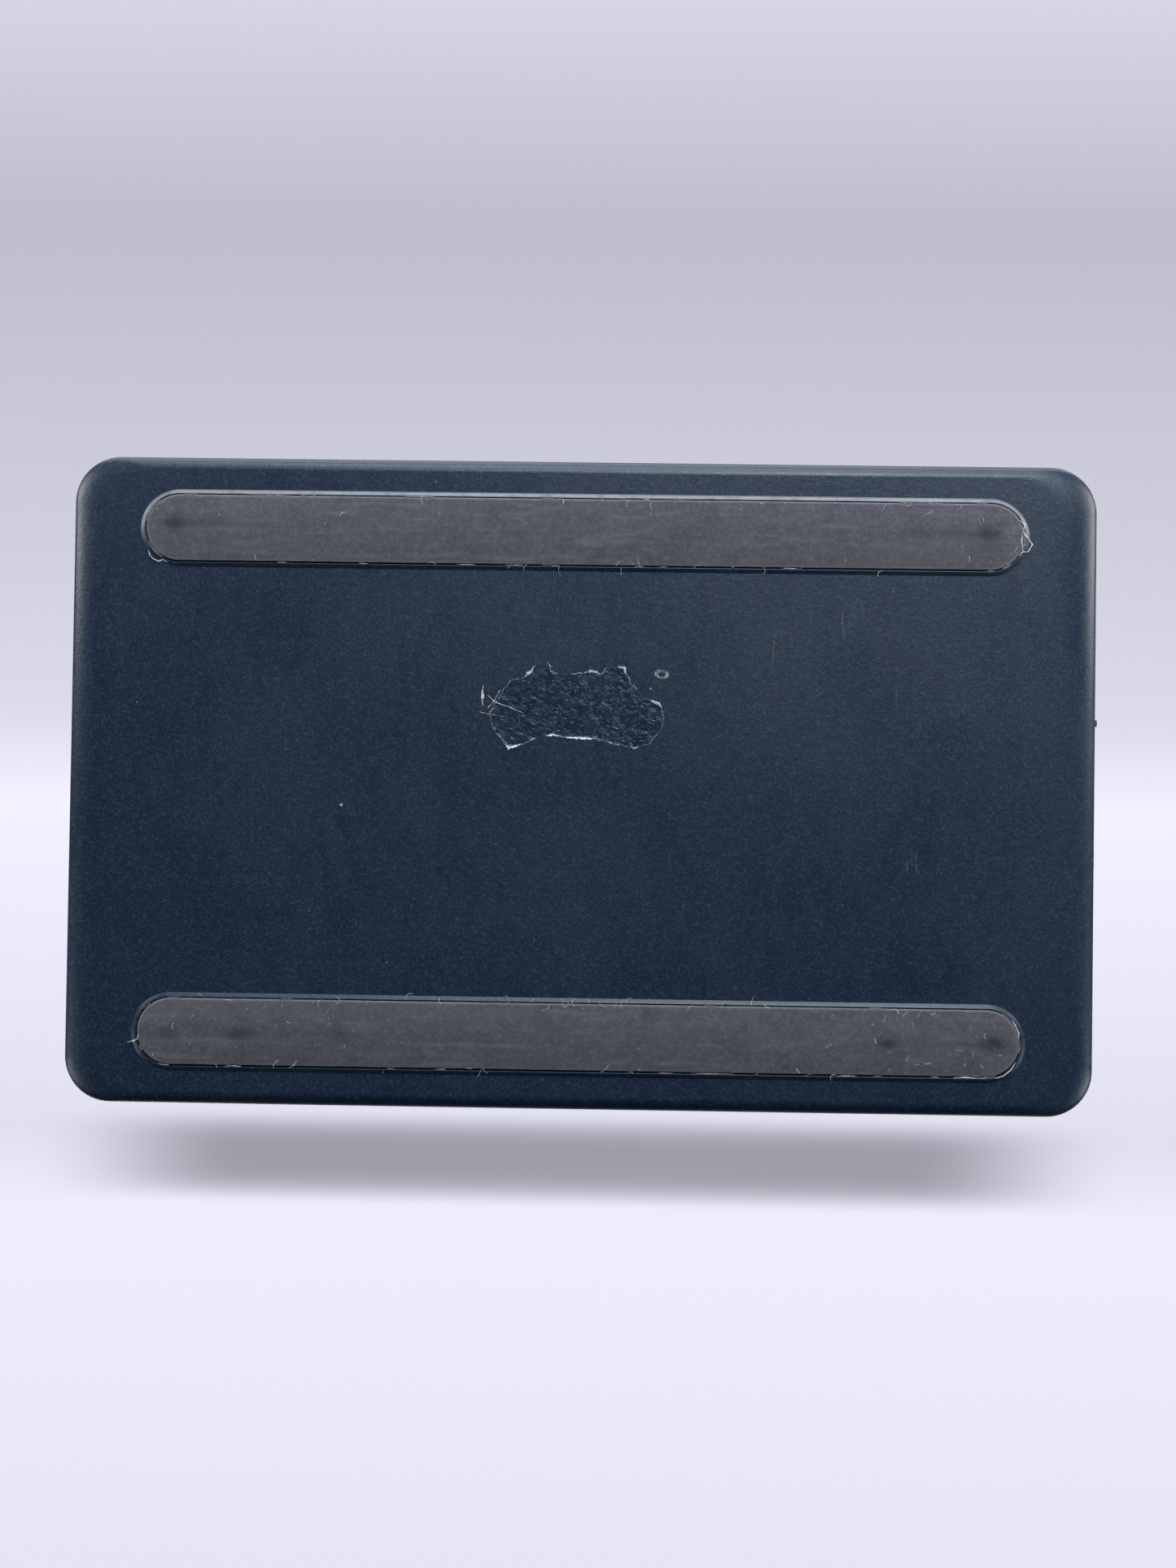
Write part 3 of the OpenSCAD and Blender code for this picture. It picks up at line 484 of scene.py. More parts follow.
def label_glue():
    """What a peeled label leaves: a dark film with short wrinkles, whitish where its rim has crumbled."""
    f = Finish("label_glue", Specular_IOR_Level=0.22, Specular_Tint=(0.68, 0.88, 1.0))
    rim = f.attribute("rim")
    swirl = f.grain(2.6, 3, 0.6, distortion=1.4, seed=6)
    broken = f.grain(1.7, 2, 0.6, seed=15)
    crease = (swirl - 0.5).abs().smooth(0.022, 0.004) * broken.smooth(0.48, 0.60)
    crease = crease * (f.x.smooth(16, -12) * 0.7 + 0.3)
    crumbs = f.grain(0.45, 3, 0.7)
    flecks = f.specks(1.5, 0.13, 0.35, 14.0) * broken.smooth(0.5, 0.6)
    colour = f.mix(swirl.smooth(0.3, 0.7), (0.0022, 0.0070, 0.0165), (0.0050, 0.0120, 0.0240))
    colour = f.mix(crease * 0.35, colour, (0.075, 0.105, 0.135))
    pale = (rim.smooth(0.12, 0.70) * (0.35 + crumbs.smooth(0.3, 0.6) * 0.65)).most(flecks * 0.7)
    colour = f.mix(pale * 0.85, colour, (0.36, 0.42, 0.46))
    rough = 0.24 + pale * 0.35 + crumbs * 0.12
    normal = f.bump(crumbs * 0.1 + crease * 0.7, 0.09)
    normal = f.bump(swirl, 0.30, normal)
    return f.set(Base_Color=colour, Roughness=rough, Normal=normal)


def foot_glue():
    """Old foot adhesive, squeezed out and grubby."""
    f = Finish("foot_glue", Specular_IOR_Level=0.5)
    crumbs = f.grain(0.6, 3, 0.7)
    clear = f.grain(4, 2, 0.6, seed=3)
    colour = f.mix(crumbs.smooth(0.35, 0.7), (0.035, 0.042, 0.058), (0.22, 0.23, 0.27))
    colour = f.mix(clear.smooth(0.45, 0.65) * 0.6, colour, (0.015, 0.02, 0.03))
    return f.set(Base_Color=colour, Roughness=0.32 + crumbs * 0.3, Normal=f.bump(crumbs, 0.15))


def lint_fibre():
    """Pale fibres of lint and stringy glue."""
    f = Finish("lint_fibre", Specular_IOR_Level=0.4)
    along = f.grain(1.2, 2, 0.6)
    colour = f.mix(along.smooth(0.3, 0.7), (0.12, 0.13, 0.15), (0.42, 0.44, 0.48))
    return f.set(Base_Color=colour, Roughness=0.45 + along * 0.3, Normal=f.bump(along, 0.02))


def frame_plastic():
    """Near-black moulded frame with a fine spark-eroded grain, finger grease and dust."""
    f = Finish("satin_frame_plastic", Specular_IOR_Level=0.5)
    grain = f.grain(0.3, 3, 0.6)
    pits = f.cells(0.5)
    grease = f.grain(16, 4, 0.6, distortion=1.0)
    colour = f.mix(grain.smooth(0.4, 0.8) * 0.5, (0.0085, 0.0088, 0.0098), (0.018, 0.0185, 0.020))
    dust = f.specks(7, 0.12, 0.4, 3.0)
    colour = f.mix(dust * 0.5, colour, (0.3, 0.3, 0.32))
    rubbed = f.z.smooth(TOP_Z - 0.5, TOP_Z - 0.05) * (1 - f.z.smooth(TOP_Z - 0.05, TOP_Z))
    colour = f.mix(rubbed * 0.3, colour, (0.05, 0.05, 0.053))
    rough = 0.50 - grease.smooth(0.5, 0.72) * 0.13 + grain * 0.08 + dust * 0.3
    return f.set(Base_Color=colour, Roughness=rough, Normal=f.bump(grain * 0.5 + pits * 0.5, 0.03))


def drawing_surface():
    """Toothed black drawing sheet: paper-like tooth, a paler polished patch and fine pen strokes."""
    f = Finish("toothed_drawing_sheet", Specular_IOR_Level=0.35)
    tooth = f.grain(0.22, 3, 0.7)
    fibres = f.grain(0.5, 2, 0.6, where=f.stretched(1, 0.35, 1), seed=5)
    used = f.blotch(30, 2, 62, 38, 0.9) * f.grain(30, 3, 0.6).smooth(0.3, 0.7)
    along = f.grain(0.9, 1, 0.5, where=f.stretched(0.06, 1, 1), distortion=0.6, seed=13)
    down = f.grain(1.1, 1, 0.5, where=f.stretched(1, 0.05, 1), distortion=0.8, seed=17)
    worn = used * (along.smooth(0.66, 0.72) + down.smooth(0.68, 0.74))
    colour = f.mix(tooth.smooth(0.35, 0.75), (0.0115, 0.0115, 0.0125), (0.026, 0.026, 0.028))
    colour = f.mix(used * 0.25, colour, (0.034, 0.034, 0.036))
    colour = f.mix(worn * 0.3, colour, (0.06, 0.06, 0.064))
    dust = f.specks(5, 0.1, 0.5, 7.0)
    colour = f.mix(dust * 0.5, colour, (0.32, 0.32, 0.34))
    rough = 0.74 - used * 0.08 - worn * 0.12 + tooth * 0.08
    return f.set(Base_Color=colour, Roughness=rough, Normal=f.bump(tooth * 0.7 + fibres * 0.3, 0.035))


def mark_print():
    """Pale grey printed corner marks, slightly worn."""
    f = Finish("corner_mark_print", Specular_IOR_Level=0.4)
    wear = f.grain(0.6, 3, 0.7)
    colour = f.mix(wear.smooth(0.55, 0.75) * 0.7, (0.42, 0.42, 0.43), (0.12, 0.12, 0.12))
    return f.set(Base_Color=colour, Roughness=0.6 + wear * 0.15, Normal=f.bump(wear, 0.01))


def key_plastic(name="key_plastic", shine=0.0):
    """Soft black key plastic, polished by fingertips in the dish."""
    f = Finish(name, Specular_IOR_Level=0.5)
    grain = f.grain(0.28, 3, 0.6)
    touch = f.grain(5, 3, 0.55, distortion=0.8, seed=2)
    colour = f.mix(grain.smooth(0.4, 0.8) * 0.6, (0.0095, 0.0097, 0.0105), (0.020, 0.0205, 0.022))
    dust = f.specks(3.5, 0.08, 0.35, 4.0)
    colour = f.mix(dust * 0.5, colour, (0.28, 0.28, 0.3))
    rough = 0.42 - shine - touch.smooth(0.45, 0.7) * 0.12 + grain * 0.08 + dust * 0.3
    return f.set(Base_Color=colour, Roughness=rough, Normal=f.bump(grain, 0.02))


def ring_plastic():
    """Glossier plastic of the touch ring, with faint circular rub marks from a turning finger."""
    f = Finish("ring_plastic", Specular_IOR_Level=0.5, Coat_Roughness=0.12)
    away = (f.x - KEY_X) * (f.x - KEY_X) + f.y * f.y
    radius = away ** 0.5
    round_ring = f.node("ShaderNodeCombineXYZ", None, {0: radius * 2.4, 1: f.z}).outputs[0]
    rubs = f.grain(1.0, 3, 0.65, where=round_ring)
    grain = f.grain(0.25, 2, 0.6)
    prints = f.grain(4, 3, 0.6, distortion=1.0)
    track = radius.smooth(8, 11) * radius.smooth(19, 16)
    colour = f.mix(grain.smooth(0.45, 0.8) * 0.5, (0.0075, 0.0077, 0.0085), (0.015, 0.0155, 0.017))
    dust = f.specks(4.5, 0.09, 0.4, 6.0)
    colour = f.mix(dust * 0.5, colour, (0.3, 0.3, 0.32))
    rough = 0.27 + rubs * track * 0.14 + prints.smooth(0.5, 0.7) * 0.12 + dust * 0.3
    return f.set(Base_Color=colour, Roughness=rough, Coat_Weight=0.15 + prints * 0.1,
                 Normal=f.bump(grain * 0.4 + rubs * track * 0.6, 0.012))


def light_plastic():
    """Milky light guides, faintly lit, cloudy inside."""
    f = Finish("milky_light_plastic", Specular_IOR_Level=0.5, Emission_Strength=0.25)
    cloud = f.grain(0.7, 2, 0.5)
    colour = f.mix(cloud.smooth(0.3, 0.7), (0.62, 0.66, 0.70), (0.78, 0.80, 0.82))
    glow = f.mix(cloud, (0.35, 0.45, 0.6), (0.5, 0.6, 0.75))
    return f.set(Base_Color=colour, Emission_Color=glow, Roughness=0.3 + cloud * 0.15,
                 Normal=f.bump(cloud, 0.02))


def plated_steel(name, tone, rough, marks=1.0):
    """Rolled or plated sheet metal with fine brushing, spots and finger marks."""
    f = Finish(name, Specular_IOR_Level=0.5)
    brushed = f.grain(0.25, 3, 0.65, where=f.stretched(0.1, 1, 1))
    spots = f.grain(1.8, 3, 0.6, distortion=0.8)
    dark = tuple(c * 0.62 for c in tone)
    colour = f.mix(brushed.smooth(0.3, 0.8) * 0.35, tone, dark)
    colour = f.mix(spots.smooth(0.55, 0.75) * 0.3 * marks, colour, tuple(c * 0.45 for c in tone))
    return f.set(Base_Color=colour, Metallic=1 - spots.smooth(0.62, 0.8) * 0.3,
                 Roughness=rough + brushed * 0.12 + spots.smooth(0.5, 0.7) * 0.15,
                 Normal=f.bump(brushed, 0.008))


def circuit_board():
    """Green solder mask over copper tracks, with tinned pads."""
    f = Finish("circuit_board", Specular_IOR_Level=0.5)
    tracks = f.cells(2.4, "DISTANCE_TO_EDGE", randomness=0.55).smooth(0.09, 0.05)
    weave = f.grain(0.5, 2, 0.5)
    pads = f.specks(1.9, 0.28, 0.55, 12.0)
    colour = f.mix(tracks, (0.006, 0.052, 0.024), (0.012, 0.094, 0.040))
    colour = f.mix(weave.smooth(0.5, 0.8) * 0.3, colour, (0.004, 0.035, 0.018))
    colour = f.mix(pads, colour, (0.62, 0.60, 0.55))
    return f.set(Base_Color=colour, Metallic=pads * 0.9, Roughness=0.33 + weave * 0.12,
                 Normal=f.bump(tracks * 0.6 + pads * 0.4, 0.03))


def moulded(name, dark, pale, rough, grain_size=0.3, depth=0.02, metal=0.0):
    """General moulded or coated finish: two tones, fine grain and a few smudges."""
    f = Finish(name, Specular_IOR_Level=0.5, Metallic=metal)
    grain = f.grain(grain_size, 3, 0.6)
    smudge = f.grain(grain_size * 18, 3, 0.6, distortion=0.8, seed=4)
    colour = f.mix(grain.smooth(0.3, 0.75), dark, pale)
    colour = f.mix(smudge.smooth(0.5, 0.75) * 0.3, colour, tuple(c * 0.6 for c in dark))
    return f.set(Base_Color=colour, Roughness=rough + grain * 0.1 + smudge.smooth(0.5, 0.7) * 0.08,
                 Normal=f.bump(grain, depth))


def battery_foil():
    """Crinkled silver pouch foil, dull along its folds."""
    f = Finish("battery_foil", Specular_IOR_Level=0.5)
    folds = f.cells(5, "DISTANCE_TO_EDGE")
    crinkle = f.grain(1.4, 3, 0.6, distortion=1.0)
    colour = f.mix(crinkle.smooth(0.3, 0.7), (0.52, 0.53, 0.55), (0.66, 0.67, 0.69))
    return f.set(Base_Color=colour, Metallic=0.75 + crinkle * 0.2, Roughness=0.32 + crinkle * 0.2,
                 Normal=f.bump(folds.smooth(0.0, 0.2) * 0.5 + crinkle * 0.5, 0.15))


COVER = satin_cover_plastic()
RUBBER = dusty_foot_rubber()
FRAME = frame_plastic()
SHEET = drawing_surface()
KEYS = key_plastic()
BUTTON = key_plastic("button_plastic", 0.08)
RING = ring_plastic()
LIGHT = light_plastic()
PORT_STEEL = plated_steel("port_steel", (0.56, 0.55, 0.53), 0.30)
GOLD = plated_steel("contact_gold", (0.83, 0.62, 0.28), 0.25, 0.4)
DARK_NYLON = moulded("connector_nylon", (0.014, 0.014, 0.016), (0.028, 0.028, 0.030), 0.42)


# ---- Rear cover ----

def curled_levels(w, d, r, curl_x, curl_y, curl_h, low, top_levels, steps):
    """Outlines from the flat bottom, up round the curled edges, and on to the given upper levels."""
    levels = []
    for i in range(steps + 1):
        a = math.radians(90 * i / steps)
        out = 1 - math.sin(a)
        levels.append((rounded_rect(w - 2 * curl_x * out, d - 2 * curl_y * out, r, 14),
                       low + curl_h * (1 - math.cos(a))))
    for inset, z in top_levels:
        levels.append((rounded_rect(w - 2 * inset, d - 2 * inset, r - inset, 14), z))
    return levels


def foot_rim(side):
    """Raised stadium with a rounded crest and sloping side; its root is sunk into the cover."""
    crest = POCKET_W + 2 * RIM_CREST
    straight = POCKET_LEN - POCKET_W
    profile = [(-0.02, 1.25), (RIM_SLOPE + 0.06, UNDER_Z + 0.02), (RIM_SLOPE - 0.02, UNDER_Z - 0.03),
               (0.22, 0.715), (-0.10, 0.56), (-0.38, 0.435), (-0.46, RIM_Z + 0.01), (-0.50, RIM_Z)]
    levels = []
    for grow, z in profile:
        width = crest + 2 * grow
        levels.append((stadium(straight + width, width, 40, side * FOOT_Y), z))
    return loft(levels)


def foot_pocket(side):
    """Cutter for the pad's recess, flared where it meets the crest so the edge comes out soft."""
    levels = []
    flare = [(0.10, 0.0), (0.10, RIM_Z), (0.03, RIM_Z + 0.03), (0.0, RIM_Z + 0.10), (0.0, PAD_SEAT)]
    for grow, z in flare:
        levels.append((stadium(POCKET_LEN + 2 * grow, POCKET_W + 2 * grow, 40, side * FOOT_Y), z))
    return loft(levels)


def port_outline(grow, radius=0.3):
    w, h, bevel = PORT_W / 2 + grow, PORT_H / 2 + grow, PORT_BEVEL
    return softened([(-w, h), (-w, 0), (bevel - w, -h), (w - bevel, -h), (w, 0), (w, h)], radius)


def side_cutter(outline_at, y, z):
    """Cutter through the left wall, flared at the outer face; outline_at gives its outline grown by g."""
    flare = [(0.25, -0.6), (0.18, -0.001), (0.05, 0.05), (0.0, 0.18), (0.0, WALL + 1)]
    return loft([(outline_at(grow), LEFT + depth) for grow, depth in flare]).turned(sideways(y, z))


def stadium_at(length, width):
    return lambda g: stadium(length + 2 * g, width + 2 * g, 16)


def make_rear_cover():
    rim = [(0, 6.1), (0, PARTING_Z - 0.2), (0.05, PARTING_Z - 0.06), (0.17, PARTING_Z)]
    shell = loft(curled_levels(BODY_W, BODY_D, CORNER, SIDE_ROLL, END_ROLL, ROLL_H, UNDER_Z, rim, 18))
    cavity = loft(curled_levels(BODY_W - 2 * WALL, BODY_D - 2 * WALL, CORNER - WALL, SIDE_ROLL - CAVITY_CUT,
                                END_ROLL - CAVITY_CUT, CAVITY_ROLL_H, FLOOR_Z, [(0, PARTING_Z + 1)], 8))
    mesh = combined(shell, together(foot_rim(1), foot_rim(-1)), "UNION")
    cutters = together(
        cavity, foot_pocket(1), foot_pocket(-1),
        side_cutter(lambda g: port_outline(0.5 + g, 0.35), 0, PORT_Z),
        side_cutter(lambda g: rounded_rect(4.1 + 2 * g, 1.9 + 2 * g, 0.25, 4), KNOB_Y - 1, SIDE_Z),
        side_cutter(stadium_at(5.9, 1.8), POWER_Y, SIDE_Z),
        side_cutter(lambda g: stadium(1.3001 + 2 * g, 1.3 + 2 * g, 16), PIPE_Y, SIDE_Z))
    mesh = combined(mesh, cutters, "DIFFERENCE")
    bores = Shape()
    low, step, high = PAD_SEAT - 0.3, 2.05, 3.4
    for x, y in CASE_SCREWS:
        bores.add(lathe([(0, low), (2.1, low), (2.1, step), (1.15, step), (1.15, high), (0, high)], 32, x, y))
    mesh = combined(mesh, bores, "DIFFERENCE")
    return piece("rear_cover_shell", mesh, COVER, "case", ["rear_cover"], sharp=30)


def post(x, y, outer, inner, low, high):
    """Tubular boss with softened rims."""
    e = 0.1
    return lathe([(inner, low), (outer - e, low), (outer, low + e), (outer, high - e), (outer - e, high),
                  (inner, high)], 32, x, y)


def make_cover_bosses():
    """Screw bosses and stiffening ribs inside the cover."""
    bosses = Shape()
    for x, y in CASE_SCREWS:
        bosses.add(post(x, y, 3.4, 1.2, FLOOR_Z - 0.1, FLOOR_Z + 1.2))
    for x in (-128.2, -73):
        for s in (-1, 1):
            bosses.add(post(x, s * 31, 2.1, 0.84, FLOOR_Z - 0.1, 3.9))
    first, pitch, rib_top = 22, 32.67, 5.85
    for i in range(4):
        x = first + i * pitch
        side = rounded_rect(0.9, 112, 0.3, 4, x)
        crest = rounded_rect(0.7, 111.8, 0.3, 4, x)
        bosses.add(loft([(side, FLOOR_Z - 0.1), (side, rib_top - 0.1), (crest, rib_top)]))
    for s in (-1, 1):
        across = rounded_rect(3 * pitch, 0.9, 0.3, 4, first + 1.5 * pitch, s * 30)
        bosses.add(loft([(across, FLOOR_Z - 0.1), (across, rib_top - 0.15)]))
    return piece("cover_bosses", bosses, COVER, "case")


# ---- Feet ----

# Dents over the screw recesses: x, y from the pad's middle, half length, half width, tail, strength
FAR_DENTS = [(107.6, 0.6, 2.7, 2.2, -9, 1.1), (-105.5, 0.3, 3.2, 2.3, 11, 1.0)]
NEAR_DENTS = [(106.5, -0.9, 3.0, 1.8, -3, 0.6), (88.1, -0.8, 3.6, 1.5, 2, 0.85), (62, -1.2, 5.0, 1.8, 0, 0.3),
              (-80.5, -1.0, 2.6, 1.4, 4, 0.85), (-107.8, -0.7, 3.4, 1.9, 11, 1.0)]
# The pads sit a little towards +Y in their pockets
DENT_DEPTH, PAD_SHIFT = 0.3, 0.15


def dent_share(x, y, dents):
    """Share of the full depth at a point: soft ovals, each trailing off to one side."""
    share = 0.0
    ragged = 1.1 + 0.5 * noise.noise(Vector((x * 0.55, y * 0.8, 1.0)))
    for cx, cy, half_x, half_y, tail, strength in dents:
        along, over = x - cx, y - cy
        oval = math.exp(-(along / half_x) ** 2 - (over / half_y) ** 2)
        trail = 0.0
        if tail and along * tail > 0:
            trail = 0.7 * math.exp(-abs(along) / abs(tail)) * math.exp(-(over / (0.5 * half_y)) ** 2)
        share = max(share, strength * ragged * max(oval, trail))
    return min(1.0, share)


def make_foot_pad(name, side, dents):
    """Long rubber foot: crowned, a little wavy, dented over the screws, with a soft worn edge."""
    r, straight = PAD_W / 2, PAD_LEN - PAD_W
    insets = [0.0, 0.0, 0.03, 0.12, 0.28, 0.5, 0.85, 1.3, 1.8] + [2.4 + 0.6 * i for i in range(10)] + [8.3]
    crown, edge_low = 0.5, 0.2
    shape, rings, dent_values, edge_values = Shape(), [], [], []
    for level, inset in enumerate(insets):
        width = PAD_W - 2 * inset
        outline = stadium(straight + width, width, 36, 0, 170)
        ring = []
        for x, y in outline:
            wobble = 0.07 * noise.noise(Vector((x * 0.35, y * 0.35, 7.0 + side)))
            if level == 0:
                z = PAD_TOP
            else:
                across = 1 - inset / r
                z = crown * across ** 2 + edge_low * max(0.0, 1 - inset / 0.5) ** 2
                z += 0.03 + 0.03 * noise.noise(Vector((x * 0.05, y * 0.15, 3.0 * side)))
                z = max(0.0, z)
            dent = dent_share(x, y, dents) if level else 0.0
            stretch = 1 + (wobble if inset < 0.6 else 0) / r
            cx = max(-straight / 2, min(straight / 2, x))
            ring.append((cx + (x - cx) * stretch, side * FOOT_Y + PAD_SHIFT + y * stretch,
                         min(z + DENT_DEPTH * dent, PAD_TOP)))
            dent_values.append(dent)
            edge_values.append(max(0.0, 1 - inset / 0.55) if level else 0.5)
        rings.append(shape.ring(ring))
    for first, second in zip(rings, rings[1:]):
        shape.bridge(first, second)
    last, count = rings[-1], len(rings[-1])
    for i in range(18, count // 2 + 18):
        a, b = i % count, (i + 1) % count
        c, d = (36 - i - 1) % count, (36 - i) % count
        if len({a, b, c, d}) == 4 and a < b:
            shape.faces.append((last[a], last[b], last[c], last[d]))
    shape.faces.append(tuple(rings[0]))
    lowest = min(p[2] for p in shape.points)
    shape.points = [(x, y, z - lowest * (1 - z / PAD_TOP)) for x, y, z in shape.points]
    mesh = bpy.data.meshes.new(name)
    mesh.from_pydata(shape.points, [], shape.faces)
    for label, values in (("dent", dent_values), ("edge", edge_values)):
        mesh.attributes.new(label, "FLOAT", "POINT").data.foreach_set("value", values)
    tidy = bmesh.new()
    tidy.from_mesh(mesh)
    bmesh.ops.holes_fill(tidy, edges=[e for e in tidy.edges if e.is_boundary], sides=0)
    bmesh.ops.recalc_face_normals(tidy, faces=tidy.faces)
    tidy.to_mesh(mesh)
    tidy.free()
    return piece(name, mesh, RUBBER, "case", [name.replace("_rubber", "_pad")], sharp=60)


def tube(points, radii, sides=5):
    """Closed thin tube through 3-D points, with its own radius at each."""
    shape, rings = Shape(), []
    for i, point in enumerate(points):
        before, after = points[max(0, i - 1)], points[min(len(points) - 1, i + 1)]
        way = (Vector(after) - Vector(before)).normalized()
        side = way.cross(Vector((0, 0, 1)))
        side = side.normalized() if side.length > 1e-6 else Vector((1, 0, 0))
        up = side.cross(way)
        ring = []
        for k in range(sides):
            a = 2 * math.pi * k / sides
            ring.append(Vector(point) + (side * math.cos(a) + up * math.sin(a)) * radii[i])
        rings.append(shape.ring(ring))
    for first, second in zip(rings, rings[1:]):
        shape.bridge(first, second)
    shape.faces += [tuple(reversed(rings[0])), tuple(rings[-1])]
    return shape


def foot_glue_run(side):
    """Squeezed-out adhesive round a pad, heaviest at its ends, in broken runs."""
    glue, run = Shape(), []
    loop = stadium((PAD_LEN + POCKET_LEN) / 2, (PAD_W + POCKET_W) / 2, 60, side * FOOT_Y, 270)
    for x, y in loop + loop[:1]:
        lump = noise.noise(Vector((x * 0.22, y * 0.22, side * 4.0)))
        at_end = 1 if abs(x) > 104 else 0
        size = 0.05 + 0.17 * max(0.0, lump - 0.10 + 0.26 * at_end)
        if size > 0.075:
            jitter = 0.12 * noise.noise(Vector((x * 1.3, y * 1.3, 9.0)))
            run.append(((x + jitter, y + jitter, 0.5 + 0.06 * lump), min(size, 0.20 + 0.06 * at_end)))
        elif run:
            if len(run) > 3:
                thin = [0.3 if k in (0, len(run) - 1) else 1 for k in range(len(run))]
                glue.add(tube([p for p, r in run], [r * share for (p, r), share in zip(run, thin)], 6))
            run = []
    if len(run) > 3:
        glue.add(tube([p for p, r in run], [r for p, r in run], 6))
    return glue


def make_foot_glue():
    beads = together(foot_glue_run(1), foot_glue_run(-1))
    return piece("foot_glue_beads", beads, foot_glue(), "case", sharp=80, weighted=False)


# Strings of glue on the label smear, then threads at the ends of the feet: x, y along each
PATCH_STRINGS = [
    [(25.8, 25.6), (26.0, 23.4), (25.7, 20.0)],
    [(24.6, 23.0), (22.6, 21.2), (19.0, 20.0), (15.1, 18.4)],
    [(24.4, 19.8), (22.9, 21.4), (21.4, 24.6)]]
FOOT_THREADS = [
    [(114.3, 59.9), (113.9, 58.6), (113.0, 57.7), (111.5, 57.0), (110.5, 57.5), (109.3, 56.9)],
    [(-112.9, -59.6), (-114.0, -61.4), (-114.8, -63.2), (-114.7, -65.0)],
    [(-114.0, -70.6), (-112.8, -72.6), (-110.9, -74.2), (-108.8, -74.9)],
    [(-104.0, -74.9), (-100.9, -74.7), (-98.0, -74.9)],
    [(-112.2, 72.6), (-113.4, 70.5), (-115.1, 69.5), (-114.5, 67.6), (-116.0, 65.6), (-117.1, 64.3),
     (-116.0, 62.3), (-114.5, 62.3), (-113.7, 61.3)],
    [(-114.5, 67.0), (-114.2, 64.8), (-114.7, 62.6)],
    [(117.4, -69.0), (116.0, -68.7), (114.8, -68.2), (114.5, -66.9)]]


def fibre(dice, x, y, z, length, heading):
    """A fine curled thread that starts at a place and wanders off."""
    points, turn, a = [], dice.uniform(-26, 26), math.radians(heading)
    steps = max(4, int(length / 0.35))
    for k in range(steps + 1):
        points.append((x, y, max(0.05, z + 0.05 * math.sin(k * 0.9))))
        a += math.radians(turn + dice.uniform(-14, 14))
        x, y = x + math.cos(a) * length / steps, y + math.sin(a) * length / steps
    return tube(points, [dice.uniform(0.022, 0.045)] * len(points), 4)


def strand(path, z, start, middle, end, sides):
    """A thicker string laid through chosen places, with its own radius at each end."""
    return tube([(x, y, z) for x, y in path], [start] + [middle] * (len(path) - 2) + [end], sides)


def make_lint(dice):
    """Curled fibres, strings and threads caught along the feet and on the old label patch."""
    lint, starts = Shape(), []
    for side, count in ((1, 34), (-1, 44)):
        for _ in range(count):
            x = dice.uniform(-112, 112)
            edge = dice.choice((-1, 1, 1)) * dice.uniform(8.0, 9.2)
            starts.append((x, side * FOOT_Y + edge, 0.22, dice.uniform(0.8, 3.2), dice.uniform(0, 360)))
    for _ in range(16):
        x, y = PATCH_OUTLINE[dice.randrange(len(PATCH_OUTLINE))]
        starts.append((x, y, 0.80, dice.uniform(0.8, 2.6), dice.uniform(0, 360)))
    for _ in range(44):
        x = dice.choice((-1, -1, 1)) * dice.uniform(60, 113)
        y = dice.choice((-1, -1, -1, 1)) * FOOT_Y + dice.uniform(-7, 7)
        starts.append((x, y, 0.02, dice.uniform(0.6, 2.4), dice.uniform(0, 360)))
    for start in starts:
        lint.add(fibre(dice, *start))
    for path in PATCH_STRINGS:
        lint.add(strand(path, 0.82, 0.09, 0.07, 0.03, 5))
    for path in FOOT_THREADS:
        lint.add(strand(path, 0.42, 0.05, 0.13, 0.05, 6))
    return piece("lint_fibres", lint, lint_fibre(), "case", sharp=80, weighted=False)


# ---- Old label patch ----

PATCH_OUTLINE = [
    (24.2, 18.1), (20.6, 24.4), (18.7, 26.9), (15.5, 27.7), (12.5, 30.8), (8.5, 31.1), (8.2, 29.5),
    (4.5, 28.7), (0.1, 29.3), (-2.6, 30.1), (-5.4, 28.9), (-6.0, 30.5), (-11.3, 31.1), (-11.7, 28.7),
    (-13.7, 26.3), (-15.7, 23.2), (-20.4, 21.6), (-21.6, 18.1), (-20.8, 14.1), (-17.6, 10.6),
    (-13.7, 9.6), (-9.0, 10.6), (-3.4, 11.9), (2.9, 11.9), (7.6, 12.7), (12.0, 11.9), (14.7, 10.6),
    (19.1, 8.8), (20.6, 11.3), (23.0, 14.1)]
# Where its rim has crumbled to white flakes: x, y, half length, half width
FLAKES = [(14.0, 29.0, 1.9, 1.3), (-2.4, 29.6, 2.8, 1.1), (0.5, 11.9, 3.3, 1.0), (7.5, 12.5, 1.2, 1.0),
          (17.8, 9.5, 2.1, 1.1), (-11.0, 30.4, 1.2, 1.2), (-19.5, 21.5, 1.6, 1.3)]


def patch_level(x, y):
    """Millimetres inside the edge of the smear that a peeled label left; below 0 outside it."""
    inside, nearest = False, 99.0
    for (ax, ay), (bx, by) in zip(PATCH_OUTLINE, PATCH_OUTLINE[1:] + PATCH_OUTLINE[:1]):
        if (ay > y) != (by > y) and x < ax + (y - ay) / (by - ay) * (bx - ax):
            inside = not inside
        run_x, run_y = bx - ax, by - ay
        t = max(0.0, min(1.0, ((x - ax) * run_x + (y - ay) * run_y) / (run_x * run_x + run_y * run_y)))
        nearest = min(nearest, math.hypot(x - ax - t * run_x, y - ay - t * run_y))
    coarse = noise.noise(Vector((x * 0.8, y * 0.8, 2.0)))
    fine = noise.noise(Vector((x * 2.2, y * 2.2, 5.0)))
    return (nearest if inside else -nearest) + (0.30 * coarse + 0.14 * fine)


